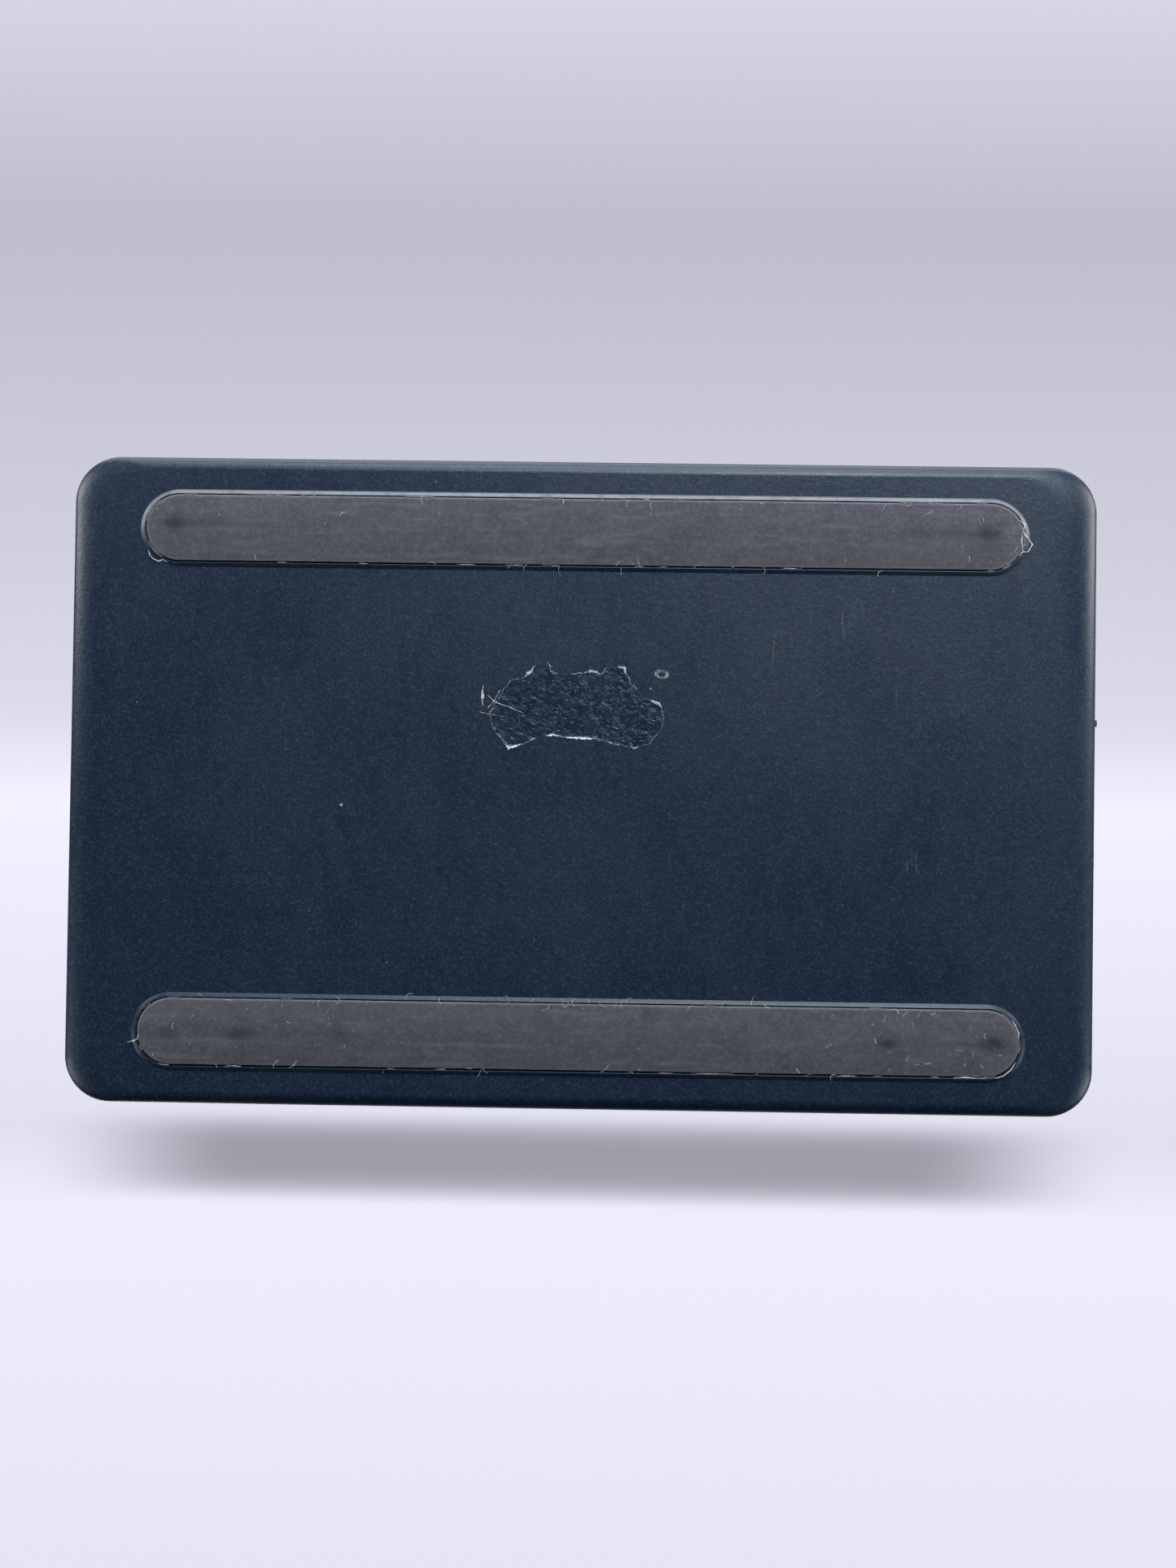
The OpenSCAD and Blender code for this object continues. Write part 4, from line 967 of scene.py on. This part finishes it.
def flake_level(x, y):
    """The same for a loose curled flake, a crumb and a thin strip beside the smear."""
    ring = 0.27 - abs(math.hypot((x + 20.9) / 1.7, (y - 29.1) / 1.05) - 0.85)
    dot = 0.34 - math.hypot(x + 18.0, y - 25.2)
    strip = 0.28 - math.hypot((x - 25.9) / 1.0, (y - 22.6) / 8.0)
    return max(ring, dot, strip) * 0.6 + 0.1 * noise.noise(Vector((x * 1.7, y * 1.7, 8.0)))


def make_label_patch():
    """Thin crumbly film: a grid that follows the smear's outline, thicker where its rim has curled up."""
    step, left, low = 0.25, -24.0, 7.5
    columns, rows, middle = int(52 / step), int(25 / step), 17
    levels = {}
    for i in range(columns + 1):
        for j in range(rows + 1):
            x, y = left + i * step, low + j * step
            levels[i, j] = max(patch_level(x, y), flake_level(x, y) if abs(x) > middle else -1)
    shape, index, rim = Shape(), {}, []

    def point(i, j, under):
        key = (i, j, under)
        if key not in index:
            x, y = left + i * step, low + j * step
            level = max(levels[i, j], 0.0)
            least = 0.0 if abs(x) < middle else 0.14
            crust = max(0.12 + 0.5 * noise.noise(Vector((x * 0.6, y * 0.6, 12.0))), least)
            for cx, cy, half_x, half_y in FLAKES:
                crust = max(crust, 1.3 * math.exp(-((x - cx) / half_x) ** 2 - ((y - cy) / half_y) ** 2))
            ridge = math.exp(-(level / (0.2 + 0.25 * crust)) ** 2)
            fold = max(0.0, 1 - abs(noise.noise(Vector((x * 0.6, y * 0.6, 3.0)))) / 0.06)
            height = 0.03 + 0.16 * ridge * (0.25 + crust) + 0.05 * fold
            index[key] = len(shape.points)
            shape.points.append((x, y, UNDER_Z + 0.02 if under else UNDER_Z - height))
            rim.append(min(1.0, ridge * (0.22 + crust)))
        return index[key]

    kept = {(i, j) for i in range(columns) for j in range(rows)
            if sum(levels[i + a, j + b] for a in (0, 1) for b in (0, 1)) > 0}
    sides = ((-1, 0, (0, 0), (0, 1)), (1, 0, (1, 1), (1, 0)), (0, -1, (1, 0), (0, 0)), (0, 1, (0, 1), (1, 1)))
    for i, j in sorted(kept):
        for under in (False, True):
            corners = [point(i + a, j + b, under) for a, b in ((0, 0), (1, 0), (1, 1), (0, 1))]
            shape.faces.append(tuple(corners if under else reversed(corners)))
        for di, dj, a, b in sides:
            if (i + di, j + dj) not in kept:
                first, second = (i + a[0], j + a[1]), (i + b[0], j + b[1])
                corners = [(*first, False), (*second, False), (*second, True), (*first, True)]
                shape.faces.append(tuple(point(*corner) for corner in corners))
    mesh = bpy.data.meshes.new("label_patch")
    mesh.from_pydata(shape.points, [], shape.faces)
    mesh.attributes.new("rim", "FLOAT", "POINT").data.foreach_set("value", rim)
    return piece("label_glue_patch", mesh, label_glue(), "case", sharp=75, weighted=False)


# ---- Top frame and drawing sheet ----

def window(outline_at, low, high):
    """Cutter for an opening in the frame, flared at the top so its edge comes out soft."""
    return loft([(outline_at(0.0), low), (outline_at(0.0), high - 0.2), (outline_at(0.05), high - 0.06),
                 (outline_at(0.16), high), (outline_at(0.2), high + 0.6)])


def opening_at(w, d, r, steps, x, y=0):
    return lambda g: rounded_rect(w + 2 * g, d + 2 * g, r + g, steps, x, y)


def circle_at(radius, x, y, steps=64):
    return lambda g: [(x + (radius + g) * math.cos(2 * math.pi * i / steps),
                       y + (radius + g) * math.sin(2 * math.pi * i / steps)) for i in range(steps)]


def make_top_frame():
    """Front moulding: rounded rim, locating lip, sheet recess, key windows, ring opening and light holes."""
    lip_w, lip_d, lip_r = BODY_W - 2.9, BODY_D - 2.9, CORNER - 1.45
    rim = [(0.17, PARTING_Z), (0.05, PARTING_Z + 0.06), (0.0, PARTING_Z + 0.2), (0.0, TOP_Z - 0.42)]
    for i in range(1, 6):
        a = math.radians(90 * i / 5)
        rim.append((0.42 * (1 - math.cos(a)), TOP_Z - 0.42 * (1 - math.sin(a))))
    lip_out = rounded_rect(lip_w, lip_d, lip_r, 14)
    lip_in = rounded_rect(lip_w - 2, lip_d - 2, lip_r - 1, 14)
    levels = [(lip_out, PLATE_Z), (lip_out, PARTING_Z)]
    levels += [(rounded_rect(BODY_W - 2 * g, BODY_D - 2 * g, CORNER - g, 14), z) for g, z in rim]
    plate = loft(levels)
    cutters = [window(opening_at(SHEET_W + 0.2, SHEET_D + 0.2, SHEET_R + 0.1, 12, SHEET_X), SHEET_Z, TOP_Z),
               window(circle_at(RING_R + 0.25, KEY_X, 0, 128), PLATE_Z - 1, TOP_Z)]
    for s in (-1, 1):
        keys = opening_at(KEY_W + 0.5, 28.1, 1.05, 8, KEY_X, s * KEY_GROUP_Y)
        cutters.append(window(keys, PLATE_Z - 1, TOP_Z))
        for t in (-1, 1):
            cutters.append(window(circle_at(GUIDE_R + 0.05, KEY_X + s * GUIDE_OFFSET, t * GUIDE_OFFSET, 32),
                                  PLATE_Z - 1, TOP_Z))
    mesh = combined(plate, together(*cutters), "DIFFERENCE")
    lip, root, end = Shape(), PLATE_Z + 0.05, PLATE_Z - 0.3
    section = ((lip_out, root), (lip_out, end), (lip_in, end), (lip_in, root))
    rings = [lip.ring([(x, y, z) for x, y in outline]) for outline, z in section]
    for first, second in zip(rings, rings[1:] + rings[:1]):
        lip.bridge(first, second)
    mesh = combined(mesh, lip, "UNION")
    return piece("top_frame_moulding", mesh, FRAME, "case", ["top_frame"], sharp=30)


def make_frame_bosses():
    bosses = Shape()
    for x, y in CASE_SCREWS:
        bosses.add(post(x, y, 2.3, 0.96, 3.45, PLATE_Z))
    for s in (-1, 1):
        for t in (-1, 1):
            bosses.add(post(KEY_X + s * 15, t * 54.5, 2.1, 0.84, 6.0, PLATE_Z))
    return piece("frame_bosses", bosses, FRAME, "case")


def make_sheet():
    levels = [(rounded_rect(SHEET_W - 2 * g, SHEET_D - 2 * g, SHEET_R - g, 16, SHEET_X), z)
              for g, z in ((0, SHEET_Z), (0, TOP_Z - 0.07), (0.02, TOP_Z - 0.02), (0.07, TOP_Z))]
    return piece("drawing_surface", loft(levels), SHEET, "case", ["drawing_sheet"])


def make_corner_marks():
    """Thin L-shaped marks at the corners of the active area."""
    marks, arm, line = Shape(), 6.0, 0.35
    half_w, half_d = ACTIVE_W / 2, ACTIVE_D / 2
    for sx in (-1, 1):
        for sy in (-1, 1):
            corner = [(0, 0), (-arm, 0), (-arm, -line), (-line, -line), (-line, -arm), (0, -arm)]
            outline = softened([(SHEET_X + sx * (half_w + x), sy * (half_d + y)) for x, y in corner], 0.08, 3)
            marks.add(loft([(outline, TOP_Z - 0.05), (outline, TOP_Z + 0.012)]))
    return piece("corner_marks", marks, mark_print(), "case", sharp=40)


# ---- Keys, ring and centre button ----

def key_y(number):
    return KEY_GROUP_Y + (2 - number) * KEY_PITCH if number <= 3 else -KEY_GROUP_Y + (5 - number) * KEY_PITCH


def make_key(number):
    """Rounded key cap with a shallow dish, side wings and a plunger; the middle keys carry a raised pip."""
    y0 = key_y(number)
    half_dish = KEY_D / 2 - 0.6

    def top(outline, z):
        points = []
        for x, y in outline:
            t = (y - y0) / half_dish
            points.append((x, y, z - KEY_DISH * max(0.0, 1 - t * t)))
        return points

    def outline(inset):
        radius = max(0.06, KEY_R - inset)
        return rounded_rect(KEY_W - 2 * inset, KEY_D - 2 * inset, radius, 6, KEY_X, y0, (22, 12))

    levels = [[(x, y, z) for x, y in outline(0)] for z in (KEY_FLANGE_Z, 8.3)]
    for inset, drop in ((0, 0.28), (0.03, 0.15), (0.11, 0.05), (0.24, 0.01)):
        levels.append(top(outline(inset), KEY_TOP - drop))
    levels += [top(outline(inset), KEY_TOP) for inset in (0.4, 0.6, 0.9, 1.4, 2.0, 2.7, 3.4, 4.0, 4.4)]
    cap = loft(levels)
    wings = rounded_rect(22.5, KEY_D - 1.6, 0.4, 4, KEY_X, y0)
    extras = loft([(wings, z) for z in (KEY_FLANGE_Z + 0.001, KEY_FLANGE_TOP)])
    root = KEY_FLANGE_Z + 0.2
    extras.add(lathe([(0, PLUNGER_Z), (1.1, PLUNGER_Z), (1.2, PLUNGER_Z + 0.1), (1.2, root), (0, root)],
                     32, KEY_X, y0))
    if number in (2, 5):
        pip = [(0, 8.7), (0.75, 8.7), (0.75, 8.90), (0.68, 8.96), (0.5, 9.02), (0.25, 9.055), (0, 9.065)]
        extras.add(lathe(pip, 32, KEY_X, y0))
    mesh = combined(cap, extras, "UNION")
    return piece(f"key_cap_{number}", mesh, KEYS, f"key_{number}",
                 [f"shortcut_key_{number}"], sharp=40)


def make_ring():
    """Touch ring: soft outer and inner rims with a shallow finger groove between."""
    groove = []
    start, end, steps = RING_R - 0.5, RING_HOLE + 0.5, 22
    for i in range(steps + 1):
        t = i / steps
        groove.append((start + (end - start) * t, RING_TOP - RING_DIP * math.sin(math.pi * t) ** 0.85))
    flange, shelf = RING_R + 1.2, RING_Z + 0.35
    profile = [(RING_HOLE, RING_Z), (flange, RING_Z), (flange, shelf), (RING_R, shelf),
               (RING_R, RING_TOP - 0.22), (RING_R - 0.06, RING_TOP - 0.08), (RING_R - 0.2, RING_TOP - 0.01)]
    profile += groove + [(RING_HOLE + 0.2, RING_TOP - 0.01), (RING_HOLE + 0.06, RING_TOP - 0.07),
                         (RING_HOLE, RING_TOP - 0.2)]
    return piece("touch_ring_disc", lathe(profile, 160, KEY_X), RING, "case",
                 ["touch_ring"], sharp=40)


def make_ring_button():
    """Dished centre button on a flange and plunger."""
    r, top = 6.2, 8.75
    dish = [(5.6 * (1 - i / 10), top - KEY_DISH * (1 - (1 - i / 10) ** 2)) for i in range(11)]
    profile = [(0, PLUNGER_Z), (1.1, PLUNGER_Z), (1.2, PLUNGER_Z + 0.1), (1.2, 6.8), (7.55, 6.8), (7.55, 7.1),
               (r, 7.1), (r, top - 0.25), (r - 0.07, top - 0.09), (r - 0.24, top - 0.005)] + dish
    return piece("centre_button_cap", lathe(profile, 96, KEY_X), BUTTON, "centre_button",
                 ["ring_button"], sharp=40)


def make_light_guides():
    """Four little milky rods with domed ends, each on a flange."""
    rods = Shape()
    profile = [(0, 6.55), (GUIDE_R, 6.55), (GUIDE_R, 7.1), (1.2, 7.1), (1.2, PLATE_Z), (GUIDE_R, PLATE_Z),
               (GUIDE_R, 8.72), (0.74, 8.82), (0.55, 8.88), (0.25, TOP_Z), (0, TOP_Z)]
    for s in (-1, 1):
        for t in (-1, 1):
            rods.add(lathe(profile, 32, KEY_X + s * GUIDE_OFFSET, t * GUIDE_OFFSET))
    return piece("mode_light_rods", rods, LIGHT, "case", ["mode_light_guides"], sharp=50)


# ---- Left edge ----

def make_power_button():
    """Bar-shaped push button with a rounded face, held by a tab behind the wall."""
    face = LEFT - 0.3
    levels = [(stadium(5.6 - 2 * g, 1.5 - 2 * g, 16), x) for g, x in
              ((0.34, face), (0.16, face + 0.03), (0.05, face + 0.11), (0, face + 0.26), (0, TAB_X + 0.2))]
    bar = loft(levels).turned(sideways(POWER_Y, SIDE_Z))
    tab = loft([(rounded_rect(7.6, 2, 0.25, 4), x) for x in (TAB_X, TAB_X + TAB_T)])
    tab.turned(sideways(POWER_Y, SIDE_Z))
    return piece("power_button_bar", combined(bar, tab, "UNION"), BUTTON, "power_key",
                 ["power_button"], sharp=40)


def make_knob():
    """Slide knob: small block with rounded edges and two finger grooves across it."""
    face = LEFT - 0.8
    levels = [(rounded_rect(1.8 - 2 * g, 1.6 - 2 * g, 0.3, 4), x) for g, x in
              ((0.16, face), (0.05, face + 0.05), (0, face + 0.16), (0, TAB_X + 0.2))]
    block = loft(levels)
    extras = loft([(rounded_rect(3.8, 2, 0.2, 4), x) for x in (TAB_X, TAB_X + TAB_T)])
    extras.add(loft([(rounded_rect(1.2, 0.9, 0.15, 4), x) for x in (TAB_X + 0.4, -131.2)]))
    mesh = combined(block, extras, "UNION")
    grooves = Shape()
    for y in (-0.4, 0.4):
        low, high, mouth = y - 0.2, y + 0.2, face - 0.1
        outline = [(low, mouth), (high, mouth), (high, face + 0.02), (y, face + 0.2), (low, face + 0.02)]
        grooves.add(loft([[(u, v, x) for u, x in outline] for v in (-1.2, 1.2)]))
    mesh = combined(mesh, grooves, "DIFFERENCE")
    mesh.transform(sideways(KNOB_Y, SIDE_Z))
    return piece("touch_switch_slider", mesh, BUTTON, "touch_slider",
                 ["touch_switch_knob"], sharp=30)


def make_power_light():
    """Clear pipe that ends flush with the edge, with a slightly domed end."""
    flange, back = TAB_X + TAB_T, -130.85
    rod = lathe([(0, LEFT), (0.3, LEFT + 0.004), (0.5, LEFT + 0.03), (0.6, LEFT + 0.12), (0.6, LEFT + WALL),
                 (1.0, LEFT + WALL), (1.0, flange), (0.6, flange), (0.6, back), (0, back)], 32)
    return piece("power_light_rod", rod.turned(sideways(PIPE_Y, SIDE_Z)), LIGHT, "case",
                 ["power_light_pipe"], sharp=50)


def make_port():
    """Formed metal port shell with a rolled mouth, its tongue and five contacts."""
    t, back = PORT_SHELL, PORT_X + 5
    section = [(t, back), (t, PORT_X + 0.12), (t - 0.04, PORT_X + 0.03), (t - 0.13, PORT_X),
               (0.1, PORT_X + 0.01), (0.03, PORT_X + 0.06), (0, PORT_X + 0.16), (0, back - 0.4)]
    inward = sideways(0, PORT_Z)
    shell = loft([(port_outline(grow), x) for grow, x in section]).turned(inward)
    piece("charging_port_can", shell, PORT_STEEL, "case", ["charging_port_shell"], sharp=45)
    rise, start = 0.35, PORT_X + 0.6
    levels = [(rounded_rect(3.7 - 2 * g, 0.6 - 2 * g, 0.12, 4, 0, rise), x) for g, x in
              ((0.12, start), (0.04, start + 0.06), (0, start + 0.18), (0, back - 0.4))]
    piece("charging_port_blade", loft(levels).turned(inward), DARK_NYLON, "case",
          ["charging_port_tongue"], sharp=45)
    contacts = Shape()
    for i in range(5):
        strip = rounded_rect(0.3, 0.1, 0.03, 3, (i - 2) * 0.65, rise - 0.3)
        contacts.add(loft([(strip, start + 0.35), (strip, back - 0.5)]))
    piece("charging_port_contacts", contacts.turned(inward), GOLD, "case", sharp=45)


# ---- Inner parts: sprung domes, and finishes for the CAD meshes that stay ----

def make_domes():
    """Snap domes on the key board: thin sprung shells with a dimple."""
    steel = plated_steel("dome_steel", (0.62, 0.61, 0.58), 0.24)
    arc = (DOME_R ** 2 + DOME_H ** 2) / (2 * DOME_H)
    angles = [math.asin(DOME_R / arc) * i / 12 for i in range(13)]
    outer = [(arc * math.sin(a), DOME_H - arc * (1 - math.cos(a))) for a in angles]
    inner = [(r * (1 - DOME_T / DOME_R), max(0.0, z - DOME_T)) for r, z in reversed(outer[:-1])]
    foot = [(DOME_R - DOME_T, 0.0)]
    profile = [(r, KEY_BOARD_TOP + z - 0.05 * max(0.0, 1 - (r / 0.6) ** 2)) for r, z in outer + foot + inner]
    presses = [(f"key_dome_{n}", f"key_{n}_press", key_y(n)) for n in range(1, 7)]
    for name, joint, y in presses + [("ring_button_dome", "centre_button_press", 0)]:
        dome = piece(name + "_spring", lathe(profile, 40, KEY_X, y), steel, "case", [name],
                     sharp=50)
        y * MM
        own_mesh(dome)


def dress_inner_parts():
    board = circuit_board()
    shield = plated_steel("shield_steel", (0.58, 0.59, 0.60), 0.36)
    finishes = {
        "digitizer_board": board, "main_board": board, "key_board": board, "ring_board": board,
        "wireless_board": moulded("blue_board", (0.006, 0.020, 0.075), (0.012, 0.034, 0.11), 0.34),
        "main_board_chips": moulded("chip_plastic", (0.018, 0.018, 0.019), (0.034, 0.034, 0.036), 0.5, 0.2),
        "shield_sheet": shield, "wireless_can": shield,
        "touch_sensor_film": moulded("sensor_film", (0.30, 0.19, 0.06), (0.38, 0.25, 0.09), 0.28, 1.2),
        "sensor_flex": moulded("flex_film", (0.36, 0.16, 0.03), (0.46, 0.22, 0.05), 0.30, 1.0),
        "sensor_flex_socket": moulded("socket_plastic", (0.66, 0.62, 0.52), (0.78, 0.75, 0.66), 0.45),
        "battery_socket": moulded("lead_socket_plastic", (0.68, 0.66, 0.58), (0.80, 0.78, 0.70), 0.45),
        "battery": battery_foil(),
        "battery_tape": moulded("battery_tape", (0.60, 0.58, 0.50), (0.70, 0.68, 0.60), 0.6, 0.8),
        "battery_lead": moulded("wire_insulation", (0.09, 0.008, 0.008), (0.16, 0.014, 0.012), 0.38, 0.5),
        "foot_tapes": moulded("foot_tape", (0.55, 0.52, 0.44), (0.66, 0.63, 0.55), 0.6, 0.8),
        "key_board_link": DARK_NYLON, "power_switch": DARK_NYLON,
        "power_switch_plunger": moulded("plunger_plastic", (0.64, 0.62, 0.56), (0.76, 0.74, 0.68), 0.42),
        "touch_switch_body": shield,
        "mode_lights": LIGHT, "power_light": LIGHT,
        "case_screws": plated_steel("screw_steel", (0.36, 0.36, 0.37), 0.32),
        "main_board_screws": plated_steel("board_screw_steel", (0.55, 0.54, 0.52), 0.30),
        "key_board_screws": plated_steel("key_screw_steel", (0.55, 0.54, 0.52), 0.30),
    }
    for name, finish in finishes.items():
        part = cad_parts[name]
        part.data.materials.clear()
        part.data.materials.append(finish.material)
        edge = part.modifiers.new("edge", "BEVEL")
        edge.width, edge.segments, edge.limit_method = 0.04 * MM, 2, "ANGLE"
        edge.angle_limit = math.radians(50)


# ---- Studio: pale floor seen from above, pale backdrop seen from below, soft lights ----

def srgb(red, green, blue):
    """Linear colour from screen levels of 0 to 255."""
    return tuple(((level / 255 + 0.055) / 1.055) ** 2.4 for level in (red, green, blue))


def lilac(level):
    """The room's pale lilac grey, at a screen level of 0 to 255."""
    return srgb(level, level - 1, level + 14)


HORIZON = lilac(212)
# Floor and wall behind the tablet: slope of the sight line, then tone. A bright floor, a band of
# soft shade, the brighter back of the floor, and a wall that darkens upwards and pales at its top
ROOM_TONES = [(-0.33, 230), (-0.185, 239), (-0.15, 225), (-0.01, 243), (0.03, 220), (0.10, 208), (0.24, 190),
              (0.34, 215)]
ROOM_SPAN = 0.68


def make_floor():
    """Large pale floor under the feet, one-sided, so that the underside can be seen through it."""
    half = 6000
    outline = rounded_rect(2 * half, 2 * half, half * 0.6, 24)
    shape = Shape()
    shape.faces.append(tuple(shape.ring([(x, y, 0) for x, y in outline])))
    mesh = shape.mesh("floor")
    mesh.transform(Matrix.Scale(MM, 4))
    if mesh.polygons[0].normal.z < 0:
        mesh.flip_normals()
    f = Finish("studio_floor", Specular_IOR_Level=0.2)
    cloud = f.grain(180, 3, 0.5)
    fine = f.grain(1.2, 2, 0.5)
    f.set(Base_Color=f.mix(cloud.smooth(0.3, 0.7), (0.715, 0.705, 0.775), (0.73, 0.72, 0.79)),
          Roughness=0.62 + fine * 0.08, Normal=f.bump(fine, 0.02))
    far = (f.x * f.x + f.y * f.y) ** 0.5
    haze = f.node("ShaderNodeEmission", None, {"Color": HORIZON})
    near = f.node("ShaderNodeMixShader", None,
                  {0: far.smooth(320, 1050), 1: f.shader.outputs[0], 2: haze.outputs[0]})
    clear = f.node("ShaderNodeBsdfTransparent")
    behind = f.node("ShaderNodeNewGeometry").outputs["Backfacing"]
    mixed = f.node("ShaderNodeMixShader", None, {0: behind, 1: near.outputs[0], 2: clear.outputs[0]})
    out = f.tree.nodes["Material Output"]
    f.tree.links.new(mixed.outputs[0], out.inputs["Surface"])
    mesh.materials.append(f.material)
    floor = bpy.data.objects.new("studio_floor", mesh)
    bpy.context.scene.collection.objects.link(floor)
    floor.visible_shadow = floor.visible_diffuse = floor.visible_glossy = floor.visible_transmission = False
    return floor


def make_backdrop():
    """The room: the pale one that the camera sees, and a darker one that lights the tablet."""
    world = bpy.data.worlds.new("studio")
    bpy.context.scene.world = world
    world.use_nodes = True
    n = Nodes(world.node_tree)
    way = n.node("ShaderNodeTexCoord").outputs["Generated"]
    x, y, z = n.split(way)
    ahead = z.most(0.05)
    across, rise = x / ahead - 0.02, y / ahead - 0.026
    stops = [(slope / ROOM_SPAN + 0.5, lilac(tone)) for slope, tone in ROOM_TONES]
    wall = n.ramp(rise / ROOM_SPAN + 0.5, *stops)
    shade_slope, shade_half = -0.160, 0.0115
    off = (rise - shade_slope) / shade_half
    shade = (off * off).smooth(3.2, 0.0) * across.abs().smooth(0.235, 0.14)
    wall = n.mix(shade * 0.75, wall, srgb(122, 121, 134))
    seen = n.ramp(z * 0.5 + 0.5, (0.45, HORIZON), (0.5, HORIZON), (1.0, srgb(226, 225, 238)))
    felt = n.ramp(z * 0.5 + 0.5, (0.0, srgb(32, 34, 46)), (0.40, srgb(38, 40, 51)), (0.55, srgb(72, 72, 84)),
                  (0.80, srgb(124, 124, 136)), (0.90, srgb(240, 239, 250)), (1.0, srgb(250, 249, 255)))
    direct = n.node("ShaderNodeLightPath").outputs["Is Camera Ray"]
    colour = n.mix(Value(n, direct), felt, n.mix(z.smooth(0.84, 0.90), seen, wall))
    n.give(world.node_tree.nodes["Background"].inputs["Color"], colour)


def add_softbox(name, place, aim, width, height, power, colour=(1, 0.985, 1), spares=None):
    """Soft rectangular light; it doesn't light what is in the collection that it spares."""
    data = bpy.data.lights.new(name, "AREA")
    data.shape, data.size, data.size_y = "RECTANGLE", width * MM, height * MM
    data.energy, data.color = power, colour
    light = bpy.data.objects.new(name, data)
    bpy.context.scene.collection.objects.link(light)
    light.location = Vector(place) * MM
    light.rotation_euler = (Vector(aim) - Vector(place)).to_track_quat("-Z", "Y").to_euler()
    light.visible_camera = False
    if spares:
        light.light_linking.receiver_collection = spares


def add_lights(floor):
    """Soft panels round the tablet; left and right are as the camera sees them."""
    low = bpy.data.collections.new("not_lit_from_below")
    low.objects.link(floor)
    low.collection_objects[0].light_linking.link_state = "EXCLUDE"

    add_softbox("overhead_panel", (0, 430, 90), (0, 0, 0), 700, 240, 2.5, spares=low)
    add_softbox("left_panel", (370, 150, -70), (110, 60, 0), 140, 170, 1.3, (1, 0.90, 0.80), low)
    add_softbox("right_panel", (-370, 145, -70), (-110, 60, 0), 150, 170, 1.7, (1, 0.90, 0.80), low)
    add_softbox("low_left_panel", (360, -165, -60), (110, -80, 0), 100, 150, 0.4, spares=low)
    add_softbox("low_right_panel", (-360, -165, -60), (-110, -80, 0), 100, 150, 0.5, spares=low)
    add_softbox("high_fill", (0, 780, -350), (0, 0, 0), 600, 300, 8.4)
    add_softbox("upper_sheen", (-230, 760, -1100), (0, 40, 0), 500, 300, 26, (1, 0.96, 0.94))
    add_softbox("top_key", (420, -380, 620), (0, 0, 0), 420, 420, 2.4)
    add_softbox("top_fill", (-500, 350, 520), (0, 0, 0), 380, 380, 1.2)


# ---- Making everything ----

floor = make_floor()
make_backdrop()
add_lights(floor)

make_rear_cover()
make_cover_bosses()
make_foot_pad("far_foot_rubber", 1, FAR_DENTS)
make_foot_pad("near_foot_rubber", -1, NEAR_DENTS)
make_foot_glue()
make_lint(random.Random(7))
make_label_patch()
make_top_frame()
make_frame_bosses()
make_sheet()
make_corner_marks()
for number in range(1, 7):
    make_key(number)
make_ring()
make_ring_button()
make_light_guides()
make_power_button()
make_knob()
make_power_light()
make_port()
make_domes()
dress_inner_parts()
